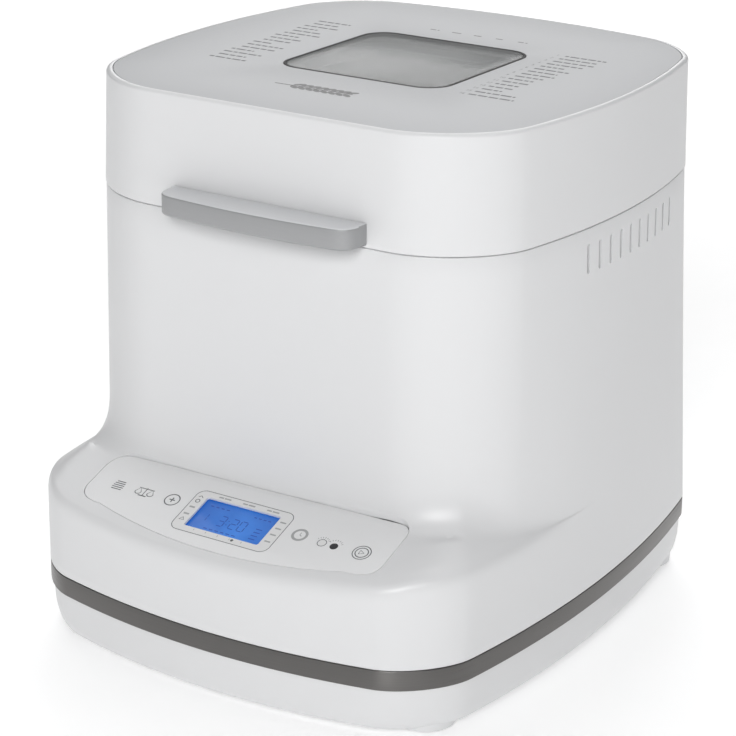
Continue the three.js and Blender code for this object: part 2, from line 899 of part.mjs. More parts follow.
function panBush() {
  return turned([
    [SHAFT_RADIUS + 0.4, 81],
    [12, 81],
    [12, PAN_FLOOR - GAP],
    [9, PAN_FLOOR - GAP],
    [9, PAN_FLOOR + 1.9],
    [8, PAN_FLOOR + 6],
    [SHAFT_RADIUS + 0.4, PAN_FLOOR + 6],
  ]);
}

function panBail() {
  const at = (x, y) => new THREE.Vector3(x, y, BAIL_Z);
  const far = CENTRE_Y - BAIL_REACH;
  const path = roundedPath(
    [at(-BAIL_X, CENTRE_Y - 5), at(-BAIL_X, far), at(BAIL_X, far), at(BAIL_X, CENTRE_Y - 5)],
    [14, 14],
  );
  const eyes = [-1, 1].map((side) => {
    const middle = side * BAIL_X;
    return rod("x", middle - 1.5, middle + 1.5, 5.4, CENTRE_Y, BAIL_Z, 12);
  });
  const holes = [-1, 1].map((side) => rod("x", side * 70 - 6, side * 70 + 6, 2.5, CENTRE_Y, BAIL_Z, 12));
  return cut(join(bar(path, 2, 30, 6), ...eyes), ...holes);
}

// ---------- kneading ----------
function kneadingShaft() {
  return turned([
    [0, 74.2],
    [3, 74.2],
    [SHAFT_RADIUS, 75],
    [SHAFT_RADIUS, 112],
    [3.2, 113],
    [0, 113],
  ]);
}

function couplingWing() {
  const bore = disc(0, 0, SHAFT_RADIUS + GAP, 70, 90);
  const wing = block([-2.6, -14, 74.8], [2.6, 14, 79.4]);
  return cut(join(wing, disc(0, 0, 7, 74.8, 80.4)), bore);
}

function kneadingPaddle() {
  const hub = turned([
    [SHAFT_RADIUS + GAP, 90.6],
    [9.5, 90.6],
    [8, 114.5],
    [SHAFT_RADIUS + GAP, 114.5],
  ]);
  const outline = new THREE.Shape();
  outline.moveTo(5, 90.6);
  outline.lineTo(46, 90.6);
  outline.quadraticCurveTo(51, 92, 50, 98);
  outline.quadraticCurveTo(45, 114, 30, 118);
  outline.quadraticCurveTo(14, 120, 5, 112);
  outline.closePath();
  const blade = new THREE.ExtrudeGeometry(outline, { depth: 3.4, bevelEnabled: false, curveSegments: 6 });
  blade.rotateX(Math.PI / 2);
  blade.translate(0, 1.7, 0);
  const place = blade.attributes.position;
  for (let i = 0; i < place.count; i++) {
    const x = place.getX(i);
    place.setY(i, place.getY(i) + 0.0024 * x * x);
  }
  return join(hub, cut(solid(blade), disc(0, 0, SHAFT_RADIUS + GAP, 80, 130)));
}

// ---------- lid ----------
function lidOutside() {
  const ring = (margin, z) => levelRing(LID_OUTLINE, margin, z);
  return lofted([
    levelRing(LID_LOW, 0, LID_BOTTOM),
    ring(0.1, LID_TOP - 4),
    ring(0.4, LID_TOP - 1.6),
    ring(0.9, LID_TOP - 0.6),
    ring(2, LID_TOP),
  ]);
}

function hingeApron() {
  const ring = cut(
    prism(LID_LOW, APRON_BOTTOM, LID_BOTTOM + 2),
    prism(inset(LID_OUTLINE, WALL), APRON_BOTTOM - 1, LID_BOTTOM + 8),
  );
  const face = plate(roundedRectangle(POCKET_HALF - 1, 40, 9, 0, APRON_BOTTOM + 40), 0, 80);
  const geometry = geometryOf(face);
  geometry.rotateX(Math.PI / 2);
  geometry.translate(0, 190, 0);
  return ring.intersect(solid(geometry));
}

function hingeKnuckles() {
  return [-1, 1].flatMap((side) =>
    [HINGE_X - 8.3, HINGE_X + 8.3].map((middle) => {
      const x = side * middle;
      const rib = block([x - 2.9, HINGE_Y - 5, HINGE_Z], [x + 2.9, 161.8, 264]);
      const eye = rod("x", x - 2.9, x + 2.9, 6, HINGE_Y, HINGE_Z, 12);
      return cut(join(rib, eye), rod("x", x - 4, x + 4, PIN_RADIUS + GAP, HINGE_Y, HINGE_Z, 12));
    }),
  );
}

const LID_SCREW_PLACES = [-84, 84].flatMap((x) => [-84, 84].map((y) => [x, CENTRE_Y + y]));

function lidShell() {
  const inside = prism(inset(LID_OUTLINE, WALL), LID_BOTTOM - 1, 302.4);
  const coverRecess = prism(inset(LID_OUTLINE, COVER_MARGIN), LID_TOP - 2, LID_TOP + 5);
  const posts = LID_SCREW_PLACES.map(([x, y]) => disc(x, y, 5, 248.4, 303, 8));
  const postHoles = LID_SCREW_PLACES.map(([x, y]) => disc(x, y, 2.1, 240, 270, 8));
  const shell = cut(lidOutside(), inside, coverRecess, square(WINDOW_HALF + 3, WINDOW_ROUND + 2, 290, 320));
  return cut(join(shell, hingeApron(), ...hingeKnuckles(), ...posts), ...postHoles);
}

function lidCover() {
  const sheet = prism(inset(LID_OUTLINE, COVER_MARGIN + GAP), LID_TOP - 1.7, LID_TOP - 0.1);
  return cut(sheet, square(WINDOW_HALF, WINDOW_ROUND, 290, 320));
}

function windowGlass() {
  return square(WINDOW_HALF + 2.7, WINDOW_ROUND + 1.7, 302.4, LID_TOP - 2);
}

function innerGlass() {
  return square(WINDOW_HALF + 6, 12, LINER_TOP + 1.3, LINER_TOP + 3.8);
}

function lidLiner() {
  const well = (grow, bottom, top) => {
    const low = roundedRectangle(82 + grow, 82 + grow, 25, 0, CENTRE_Y);
    const tapered = new THREE.ExtrudeGeometry(low, {
      depth: top - bottom,
      bevelEnabled: false,
      curveSegments: 3,
    });
    const place = tapered.attributes.position;
    for (let i = 0; i < place.count; i++) {
      if (place.getZ(i) < 1) continue;
      place.setX(i, place.getX(i) * (78 / 82));
      place.setY(i, CENTRE_Y + (place.getY(i) - CENTRE_Y) * (78 / 82));
    }
    tapered.translate(0, 0, bottom);
    return solid(tapered);
  };
  return cut(
    join(well(1, 247, LINER_TOP + 1), square(92, 10, 247, 248.1)),
    well(0, 246.5, LINER_TOP),
    square(82, 25, 246, 247.6),
    square(WINDOW_HALF + 1, 11, 290, 300),
    ...LID_SCREW_PLACES.map(([x, y]) => disc(x, y, 2.1, 240, 250, 8)),
  );
}

function lidGasket() {
  return cut(square(87.6, 27, 244.7, 246.7), square(83.2, 24, 240, 250));
}

// A ledge along the lower edge of the lid's front, hollowed from below for the fingertips.
function lidHandle() {
  const left = -56.4;
  const right = 63.6;
  const middle = (left + right) / 2;
  const shoulder = 13; // length of the rounded end
  const outline = new THREE.Shape();
  outline.moveTo(left, -96);
  outline.lineTo(left, -113);
  outline.quadraticCurveTo(left, -123.6, left + shoulder, -124);
  outline.quadraticCurveTo(middle, -129, right - shoulder, -124);
  outline.quadraticCurveTo(right, -123.6, right, -113);
  outline.lineTo(right, -96);
  outline.closePath();
  const ledge = plate(outline, 247.5, 259, 8);
  const recess = new THREE.Shape();
  recess.moveTo(left + shoulder, -90);
  recess.lineTo(left + shoulder, -120);
  recess.quadraticCurveTo(middle, -125, right - shoulder, -120);
  recess.lineTo(right - shoulder, -90);
  recess.closePath();
  return cut(ledge, prism(inset(LID_LOW, -GAP), 240, 270), plate(recess, 240, 255.5, 8));
}

// ---------- assembly ----------
function material(color, roughness, metalness = 0) {
  return new THREE.MeshStandardMaterial({ color, roughness, metalness });
}

const WHITE = () => material(0xebebee, 0.28);
const GREY = () => material(0xc5c8cb, 0.4);
const STEEL = () => material(0x8f8c88, 0.3, 1);
const ZINC = () => material(0xa9abad, 0.45, 1);
const ALUMINIUM = () => material(0xb9bbbe, 0.35, 1);
const DARK_COATING = () => material(0x3a3b3d, 0.55, 0.2);
const RUBBER = () => material(0x2a2a2b, 0.8);
const SILICONE = () => material(0xb9b7b2, 0.75);
const CIRCUIT = () => material(0x2f5d3a, 0.5);
const BLACK = () => material(0x1d1d1f, 0.5);
const GLASS = () => {
  const glass = material(0xdfe6e6, 0.05);
  glass.transparent = true;
  glass.opacity = 0.3;
  return glass;
};

const machine = new THREE.Group();

function place(parent, name, shape, look, x = 0, y = 0, z = 0) {
  const geometry = shape.isBufferGeometry ? shape : geometryOf(shape);
  const mesh = new THREE.Mesh(geometry, look);
  mesh.name = name;
  mesh.position.set(x, y, z);
  parent.add(mesh);
  return mesh;
}

function group(x = 0, y = 0, z = 0) {
  const made = new THREE.Group();
  made.position.set(x, y, z);
  machine.add(made);
  return made;
}

const CORNER_NAMES = ["front_left", "front_right", "rear_left", "rear_right"];

const base = group();
place(base, "base_tray", baseTray(), WHITE());
place(base, "trim_band", trimBand(), STEEL());
FOOT_PLACES.forEach(([x, y], i) => place(base, `foot_${CORNER_NAMES[i]}`, rubberFoot(), RUBBER(), x, y));
SCREW_PLACES.forEach(([x, y], i) =>
  place(base, `base_screw_${CORNER_NAMES[i]}`, screw(4.2, 1.8, 3, 36), STEEL(), x, y, 4.6),
);

const upper = group();
place(upper, "housing", housing(), WHITE());
place(upper, "control_panel", controlPanel(), WHITE());
place(upper, "lcd_module", lcdModule(), material(0x3c6ed7, 0.2));
place(upper, "control_board", controlBoard(), CIRCUIT());
place(upper, "cord_gland", cordGland(), BLACK(), 96, 157.5, 62);

const oven = group();
place(oven, "chamber", chamber(), ZINC());
place(oven, "heating_element", heatingElement(), material(0x4a4a4c, 0.5, 0.8));
place(oven, "temperature_sensor", temperatureSensor(), STEEL(), 34, CENTRE_Y - CHAMBER_HALF + 8, 122);
place(oven, "thermal_fuse", thermalFuse(), SILICONE());
place(oven, "pan_seat", panSeat(), ZINC(), 0, CENTRE_Y, CHAMBER_FLOOR + GAP);
const leftClip = place(oven, "pan_clip_left", panClip(), STEEL(), -48, CENTRE_Y, CHAMBER_FLOOR + GAP);
leftClip.rotation.z = Math.PI;
place(oven, "pan_clip_right", panClip(), STEEL(), 48, CENTRE_Y, CHAMBER_FLOOR + GAP);

const underworks = group();
place(underworks, "chassis_plate", chassisPlate(), ZINC());
place(underworks, "shaft_bearing", shaftBearing(), ZINC(), 0, CENTRE_Y);
place(underworks, "motor_housing", motorHousing(), ZINC(), ...MOTOR);
place(underworks, "drive_belt", driveBelt(), RUBBER());
place(underworks, "capacitor", capacitor(), BLACK(), 104, -52, CHASSIS_TOP + GAP);
place(underworks, "power_board", powerBoard(), CIRCUIT(), 122, 36, CHASSIS_TOP + GAP);

const drive = group(0, CENTRE_Y);
place(drive, "drive_shaft", driveShaft(), STEEL());
place(drive, "large_pulley", largePulley(), BLACK());
place(drive, "drive_coupling", driveCoupling(), ZINC());

const rotor = group(...MOTOR);
place(
  rotor,
  "motor_shaft",
  turned([
    [0, 29],
    [MOTOR_SHAFT_RADIUS, 29],
    [MOTOR_SHAFT_RADIUS, 122],
    [0, 122],
  ]),
  STEEL(),
);
place(rotor, "motor_pulley", pulley(MOTOR_PULLEY_RADIUS, MOTOR_SHAFT_RADIUS + GAP, 18), ZINC());
place(rotor, "motor_fan", motorFan(), BLACK());

const pan = group();
place(pan, "bread_pan", breadPan(), DARK_COATING());
place(pan, "pan_skirt", panSkirt(), ALUMINIUM(), 0, CENTRE_Y, PAN_FLOOR - 10);
place(pan, "pan_bush", panBush(), ALUMINIUM(), 0, CENTRE_Y);
place(pan, "pan_bail", panBail(), STEEL());

const kneader = group(0, CENTRE_Y);
place(kneader, "kneading_shaft", kneadingShaft(), STEEL());
place(kneader, "coupling_wing", couplingWing(), ZINC());
place(kneader, "kneading_paddle", kneadingPaddle(), DARK_COATING());

const lid = group();
place(lid, "lid_shell", lidShell(), WHITE());
place(lid, "lid_cover", lidCover(), GREY());
place(lid, "window_glass", windowGlass(), GLASS());
place(lid, "inner_glass", innerGlass(), GLASS());
place(lid, "lid_liner", lidLiner(), ALUMINIUM());
place(lid, "lid_gasket", lidGasket(), SILICONE());
place(lid, "lid_handle", lidHandle(), ALUMINIUM());
[-1, 1].forEach((side) =>
  place(
    lid,
    side < 0 ? "hinge_pin_left" : "hinge_pin_right",
    rod("x", side * HINGE_X - 11.2, side * HINGE_X + 11.2, PIN_RADIUS, HINGE_Y, HINGE_Z, 12),
    STEEL(),
  ),
);
LID_SCREW_PLACES.forEach(([x, y], i) => {
  const corner = ["front_left", "rear_left", "front_right", "rear_right"][i];
  place(lid, `lid_screw_${corner}`, screw(3.4, 1.7, 1.8, 16), STEEL(), x, y, 244.9);
});

export default machine;
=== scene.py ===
"""The look of the bread machine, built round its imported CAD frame.

Lengths in this script are millimetres until mesh_object() turns them into metres. Every visible moulding is rebuilt
as a fine mesh on the same driving dimensions, and the nodes whose shape is already right keep it and get a finish.
"""
import math
import random

import bmesh
import bpy
import numpy as np
from mathutils import Matrix, Vector


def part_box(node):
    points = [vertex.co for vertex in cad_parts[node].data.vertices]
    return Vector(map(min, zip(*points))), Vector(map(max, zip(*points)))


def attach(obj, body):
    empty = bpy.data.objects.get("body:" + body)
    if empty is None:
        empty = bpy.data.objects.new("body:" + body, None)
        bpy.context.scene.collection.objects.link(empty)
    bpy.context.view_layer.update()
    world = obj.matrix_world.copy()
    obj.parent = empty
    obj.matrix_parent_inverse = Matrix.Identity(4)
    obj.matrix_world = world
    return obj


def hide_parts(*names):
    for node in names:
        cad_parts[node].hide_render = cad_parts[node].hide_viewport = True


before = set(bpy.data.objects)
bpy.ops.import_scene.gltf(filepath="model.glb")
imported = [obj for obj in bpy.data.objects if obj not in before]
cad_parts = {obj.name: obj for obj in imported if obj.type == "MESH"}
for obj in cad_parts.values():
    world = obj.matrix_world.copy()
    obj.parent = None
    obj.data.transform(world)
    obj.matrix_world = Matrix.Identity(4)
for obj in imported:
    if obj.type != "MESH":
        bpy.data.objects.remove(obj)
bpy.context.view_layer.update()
for leftover in ("Cube", "Light", "Camera"):
    if leftover in bpy.data.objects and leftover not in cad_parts:
        bpy.data.objects.remove(bpy.data.objects[leftover])

MM = 0.001


def low(node, axis):
    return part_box(node)[0][axis] / MM


def high(node, axis):
    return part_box(node)[1][axis] / MM


# ---------- driving dimensions, from the frame where it holds them ----------
GAP = 0.3
WALL = 2.8
BODY_REAR = high("trim_band", 1)
BASE_HALF = high("trim_band", 0)
LID_HALF = 138.9
LID_FRONT = -105.6
CENTRE_Y = 30.85
SIDE_FLARE, FRONT_FLARE = 1.6, 0.6
TOWER_INSET = 0.3
TRAY_TOP = high("base_tray", 2)
BAND = (low("trim_band", 2), high("trim_band", 2))
HOUSING = (low("housing", 2), high("housing", 2))
LID_BOTTOM = 246.2
LID_TOP = high("lid_shell", 2)
LID_CEILING = 302.4
APRON_BOTTOM = low("lid_shell", 2)

DECK_SLOPE = math.radians(19.5)
DECK_EDGE = (-158.0, 84.0)
DECK_RIM = 89.0
RIM_SLOPE = 0.55
SHOULDER_DOWN, SHOULDER_IN = 8.0, 4.5
HOLLOW_UP = 22.0
HOLLOW_OUT = (3.2, 14.0)
FLARE = (0.2, 2.4)
LCD_Y = -135.0
LCD_HALF = (23.75, 11.75)

HINGE_X = 45.0
HINGE_Y = 150.0
HINGE_Z = 236.0
POCKET = dict(half=110.0, front=123.0, floor=210.0)
WINDOW_HALF = 52.5
WINDOW_ROUND = 15
COVER_MARGIN = 2.6
APRON_HALF, APRON_ROUND = 109.0, 9.0
HANDLE_ENDS, HANDLE_ROUND = (-56.4, 63.6), 13
CHAMBER_HALF = 80.0
HEATER_Z = 98
TERMINALS = (24, 36)
PAN_HALF = 65.0
PIVOT_Z = 196.0


# ---------- outlines ----------
def bowed_outline(half_width, front, rear, front_radius, rear_radius, side_bow, front_bow, rear_bow, count=60):
    """A rectangle with round corners whose sides bow outwards."""
    flat_half = half_width - side_bow
    flat_front = front + front_bow
    flat_rear = rear - rear_bow
    turn = np.linspace(0, math.pi / 2, count)
    arcs = []
    for side, y, end, radius, start in (
        (1, flat_rear, 1, rear_radius, 0),
        (-1, flat_rear, 1, rear_radius, math.pi / 2),
        (-1, flat_front, -1, front_radius, math.pi),
        (1, flat_front, -1, front_radius, 1.5 * math.pi),
    ):
        x = side * (flat_half - radius) + radius * np.cos(start + turn)
        arcs.append(np.stack([x, y - end * radius + radius * np.sin(start + turn)], 1))
    points = []
    for i, arc in enumerate(arcs):
        points.append(arc)
        onward = arcs[(i + 1) % 4][0]
        part = np.linspace(0, 1, count)[1:-1, None]
        points.append(arc[-1] + (onward - arc[-1]) * part)
    points = np.concatenate(points)
    u = points[:, 0] / flat_half
    v = (points[:, 1] - (flat_front + flat_rear) / 2) / ((flat_rear - flat_front) / 2)
    x = points[:, 0] + side_bow * u * np.abs(u) * (1 - v**2)
    y = points[:, 1] + np.where(v < 0, front_bow, rear_bow) * v * np.abs(v) * (1 - u**2)
    return np.stack([x, y], 1)


BASE_OUTLINE = dict(
    half_width=BASE_HALF, front=-BODY_REAR, rear=BODY_REAR, front_radius=31, rear_radius=8,
    side_bow=15.4, front_bow=20.1, rear_bow=20.1,
)
LID_OUTLINE = dict(
    half_width=LID_HALF, front=LID_FRONT, rear=BODY_REAR, front_radius=45, rear_radius=31,
    side_bow=20, front_bow=0.4, rear_bow=14.6,
)


def inset(outline, by):
    return dict(
        outline,
        half_width=outline["half_width"] - by,
        front=outline["front"] + by,
        rear=outline["rear"] - by,
    )


LID_LOW = dict(LID_OUTLINE, half_width=LID_HALF + SIDE_FLARE, front=LID_FRONT - FRONT_FLARE)


def rounded_square(half, radius, count=24):
    turn = np.linspace(0, math.pi / 2, count)
    corners = []
    for k in range(4):
        cx = (half - radius) * (1 if k in (0, 3) else -1)
        cy = (half - radius) * (1 if k in (0, 1) else -1)
        angle = turn + k * math.pi / 2
        corners.append(np.stack([cx + radius * np.cos(angle), CENTRE_Y + cy + radius * np.sin(angle)], 1))
    return np.concatenate(corners)


def reach_of(points, angles):
    """How far a closed outline reaches from the body's axis in each direction."""
    px, py = points[:, 0], points[:, 1] - CENTRE_Y
    theta = np.unwrap(np.arctan2(py, px))
    radius = np.hypot(px, py)
    start = theta[0]
    wrapped = start + np.mod(np.asarray(angles) - start, 2 * math.pi)
    order_theta = np.append(theta, start + 2 * math.pi)
    ax = np.append(px, px[0])
    ay = np.append(py, py[0])
    index = np.clip(np.searchsorted(order_theta, wrapped, side="right") - 1, 0, len(radius) - 1)
    dx, dy = np.cos(wrapped), np.sin(wrapped)
    x0, y0, x1, y1 = ax[index], ay[index], ax[index + 1], ay[index + 1]
    side_a = dx * y0 - dy * x0
    side_b = dx * y1 - dy * x1
    part = np.clip(side_a / np.where(np.abs(side_a - side_b) < 1e-12, 1, side_a - side_b), 0, 1)
    return (x0 + (x1 - x0) * part) * dx + (y0 + (y1 - y0) * part) * dy


def make_directions(outlines, count, extra=()):
    right = []
    for outline in outlines:
        points = bowed_outline(**outline, count=count)
        angles = np.arctan2(points[:, 1] - CENTRE_Y, points[:, 0])
        right += [a for a in angles if abs(a) < math.pi / 2 - 0.004]
    kept = []
    for angle in sorted(right):
        if not kept or angle - kept[-1] > 0.012:
            kept.append(angle)
    kept = sorted([k for k in kept if all(abs(k - e) > 0.004 for e in extra)] + list(extra))
    left = [math.pi - a for a in reversed(kept)]
    return np.array([-math.pi / 2, *kept, math.pi / 2, *left])


ANGLES = make_directions((BASE_OUTLINE, LID_OUTLINE), 18)


def outline_reach(outline, by=0.0, angles=ANGLES):
    return reach_of(bowed_outline(**inset(outline, by)), angles)


def square_reach(half, radius, angles=ANGLES):
    return reach_of(rounded_square(half, radius), angles)


# ---------- meshes ----------
def linked(name, data):
    obj = bpy.data.objects.new(name, data)
    bpy.context.collection.objects.link(obj)
    return obj


def object_of(name, work):
    """The object that a bmesh makes."""
    mesh = bpy.data.meshes.new(name)
    work.to_mesh(mesh)
    work.free()
    return linked(name, mesh)


def mesh_object(name, points, faces, smooth_angle=35.0):
    mesh = bpy.data.meshes.new(name)
    mesh.from_pydata([tuple(p) for p in np.asarray(points, float) * MM], [], faces)
    mesh.validate()
    obj = linked(name, mesh)
    tidy_normals(obj, smooth_angle)
    return obj


def tidy_normals(obj, smooth_angle=35.0):
    work = bmesh.new()
    work.from_mesh(obj.data)
    bmesh.ops.remove_doubles(work, verts=work.verts, dist=1e-6)
    bmesh.ops.recalc_face_normals(work, faces=work.faces)
    work.to_mesh(obj.data)
    work.free()
    obj.data.shade_smooth()
    obj.data.set_sharp_from_angle(angle=math.radians(smooth_angle))


def polar_rings(rings, angles=ANGLES):
    """Rings of (reach, height), each a number or one value per direction, as points in space."""
    points = []
    for reach, height in rings:
        reach = np.broadcast_to(np.asarray(reach, float), angles.shape)
        height = np.broadcast_to(np.asarray(height, float), angles.shape)
        points.append(
            np.stack([reach * np.cos(angles), CENTRE_Y + reach * np.sin(angles), height], 1)
        )
    return points


def skin(name, rings, closed=True, smooth_angle=35.0):
    """Joins rings of points into a surface. Closed joins the last ring to the first; else both ends are capped."""
    count = len(rings[0])
    points = np.concatenate(rings)
    faces = []
    total = len(rings)
    for ring in range(total if closed else total - 1):
        onward = (ring + 1) % total
        for i in range(count):
            j = (i + 1) % count
            faces.append((ring * count + i, ring * count + j, onward * count + j, onward * count + i))
    if not closed:
        faces.append(tuple(range(count - 1, -1, -1)))
        faces.append(tuple(range((total - 1) * count, total * count)))
    return mesh_object(name, points, faces, smooth_angle)


def arc_steps(start, corner, end, steps):
    """A quadratic curve from start to end, pulled towards corner."""
    t = np.linspace(0, 1, steps)[:, None]
    start, corner, end = (np.asarray(p, float) for p in (start, corner, end))
    return (1 - t) ** 2 * start + 2 * t * (1 - t) * corner + t**2 * end


def curve_through(bends, steps):
    """Quadratic bends one after another, each without its last point."""
    return [point for bend in bends for point in arc_steps(*bend, steps)[:-1]]


def round_profile(points, radii, steps):
    """A closed profile of [margin, height] points with each corner rounded by its radius."""
    points = [np.asarray(p, float) for p in points]
    made = []
    for i, corner in enumerate(points):
        radius = radii[i] if isinstance(radii, (list, tuple)) else radii
        if radius <= 0:
            made.append(corner)
            continue
        before = points[i - 1] - corner
        after = points[(i + 1) % len(points)] - corner
        reach = min(radius, np.linalg.norm(before) * 0.48, np.linalg.norm(after) * 0.48)
        start = corner + before / np.linalg.norm(before) * reach
        end = corner + after / np.linalg.norm(after) * reach
        made += list(arc_steps(start, corner, end, steps))
    return made


def turned(name, profile, centre=(0.0, 0.0), base=0.0, sides=64, radii=0.0):
    """A closed [radius, height] profile turned about an upright axis."""
    angles = np.linspace(0, 2 * math.pi, sides, endpoint=False)
    rings = []
    for radius, height in round_profile(profile, radii, 4):
        radius = max(radius, 0.002)
        x, y = centre[0] + radius * np.cos(angles), centre[1] + radius * np.sin(angles)
        rings.append(np.stack([x, y, np.full(sides, base + height)], 1))
    return skin(name, rings)


def tube(name, path, radius, sides):
    """A round bar along a list of points."""
    path = np.asarray(path, float)
    angle = np.linspace(0, 2 * math.pi, sides, endpoint=False)[:, None]
    normal = None
    rings = []
    for i, point in enumerate(path):
        ahead, behind = path[min(i + 1, len(path) - 1)], path[max(i - 1, 0)]
        along = (ahead - behind) / np.linalg.norm(ahead - behind)
        if normal is None:
            other = np.array([0.0, 0.0, 1.0]) if abs(along[2]) < 0.9 else np.array([1.0, 0.0, 0.0])
            normal = np.cross(along, other)
        normal = normal - along * normal.dot(along)
        normal /= np.linalg.norm(normal)
        across = np.cross(along, normal)
        rings.append(point + radius * (np.cos(angle) * normal + np.sin(angle) * across))
    return skin(name, rings, False, 40.0)


def rounded_route(corners, radii):
    """Straight runs between corners, each corner a circular bend."""
    corners = [np.asarray(c, float) for c in corners]
    made = [corners[0]]
    for i in range(1, len(corners) - 1):
        radius = radii[i - 1]
        before = corners[i - 1] - corners[i]
        after = corners[i + 1] - corners[i]
        start = corners[i] + before / np.linalg.norm(before) * radius
        end = corners[i] + after / np.linalg.norm(after) * radius
        centre = start + end - corners[i]
        for angle in np.linspace(0, math.pi / 2, 10):
            made.append(centre + (start - centre) * math.cos(angle) + (end - centre) * math.sin(angle))
    made.append(corners[-1])
    return made


def prism(name, outline, bottom, top, edge=0.0):
    """A flat outline given thickness, its rims rounded."""
    outline = np.asarray(outline, float)
    rings = []
    turn = np.linspace(0, math.pi / 2, 4) if edge > 0 else (0.0,)

    def ring(shrink, z):
        drawn = shrink_outline(outline, shrink) if shrink else outline
        rings.append(np.column_stack([drawn, np.full(len(drawn), z)]))

    for t in turn:
        ring(edge * (1 - math.sin(t)), bottom + edge * (1 - math.cos(t)))
    for t in turn:
        ring(edge * (1 - math.cos(t)), top - edge * (1 - math.sin(t)))
    return skin(name, rings, False)


def shrink_outline(outline, by):
    """An outline drawn in by a margin, along its own normals."""
    ahead = np.roll(outline, -1, 0)
    behind = np.roll(outline, 1, 0)
    along = ahead - behind
    along /= np.maximum(np.linalg.norm(along, axis=1), 1e-9)[:, None]
    normal = np.stack([-along[:, 1], along[:, 0]], 1)
    area = 0.5 * np.sum(outline[:, 0] * ahead[:, 1] - ahead[:, 0] * outline[:, 1])
    return outline + normal * by * (1 if area > 0 else -1)


def join(name, pieces):
    """Several objects made one."""
    work = bmesh.new()
    for piece in pieces:
        work.from_mesh(piece.data)
        bpy.data.objects.remove(piece)
    return object_of(name, work)


def carve(obj, tools, operation="DIFFERENCE", smooth_angle=40.0):
    """Cuts, or joins, the tools into an object and removes them."""
    tool = join("tool", tools) if len(tools) > 1 else tools[0]
    boolean = obj.modifiers.new("carve", "BOOLEAN")
    boolean.operation = operation
    boolean.solver = "EXACT"
    boolean.object = tool
    bpy.context.view_layer.update()
    evaluated = obj.evaluated_get(bpy.context.evaluated_depsgraph_get())
    mesh = bpy.data.meshes.new_from_object(evaluated)
    obj.modifiers.remove(boolean)
    obj.data = mesh
    bpy.data.objects.remove(tool)
    tidy_normals(obj, smooth_angle)
    return obj


def rounded_box(name, size, place, radius):
    """A box with rounded edges, by its size and middle."""
    work = bmesh.new()
    bmesh.ops.create_cube(work, size=1.0)
    for vert in work.verts:
        vert.co = Vector((vert.co.x * size[0], vert.co.y * size[1], vert.co.z * size[2])) * MM
    if radius:
        edges = list(work.edges)
        bmesh.ops.bevel(work, geom=edges, offset=radius * MM, segments=3, profile=0.5, affect="EDGES")
    bmesh.ops.translate(work, verts=work.verts, vec=Vector(place) * MM)
    obj = object_of(name, work)
    tidy_normals(obj)
    return obj


def move(obj, matrix):
    obj.data.transform(matrix)
    return obj


def turn_to(obj, place, axis, angle=math.pi / 2):
    """Turns an upright piece about an axis, and puts its origin in place."""
    return move(obj, Matrix.Translation(Vector(place) * MM) @ Matrix.Rotation(angle, 4, axis))


LCD_Z = DECK_EDGE[1] + (LCD_Y - DECK_EDGE[0]) * math.tan(DECK_SLOPE)
DECK_MATRIX = Matrix.Translation(Vector((0, LCD_Y, LCD_Z)) * MM) @ Matrix.Rotation(DECK_SLOPE, 4, "X")
COVER_MATRIX = Matrix.Translation((0, 0, (LID_TOP - 0.1) * MM))


def show(obj, body, slot, material, *nodes):
    """Puts a piece on its body, gives it its finish and lets it stand for its CAD nodes."""
    obj.data.materials.clear()
    obj.data.materials.append(material)
    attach(obj, body)
    if nodes:
        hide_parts(*nodes)
    return obj


# ---------- finishes ----------
SOCKETS = {
    "coat": "Coat Weight", "alpha": "Alpha", "specular": "Specular IOR Level", "glow": "Emission Strength",
    "anisotropic": "Anisotropic", "anisotropic_rotation": "Anisotropic Rotation", "subsurface": "Subsurface Weight",
}


def add_node(nodes, kind, **inputs):
    """A shader node with its inputs set; an underscore stands for a space in an input's name."""
    node = nodes.new("ShaderNode" + kind)
    if kind == "Mix":
        node.data_type = "RGBA"
    for key, value in inputs.items():
        node.inputs[key.replace("_", " ")].default_value = value
    return node


def wire(links, *routes):
    for source, output, target, socket in routes:
        links.new(source.outputs[output], target.inputs[socket])


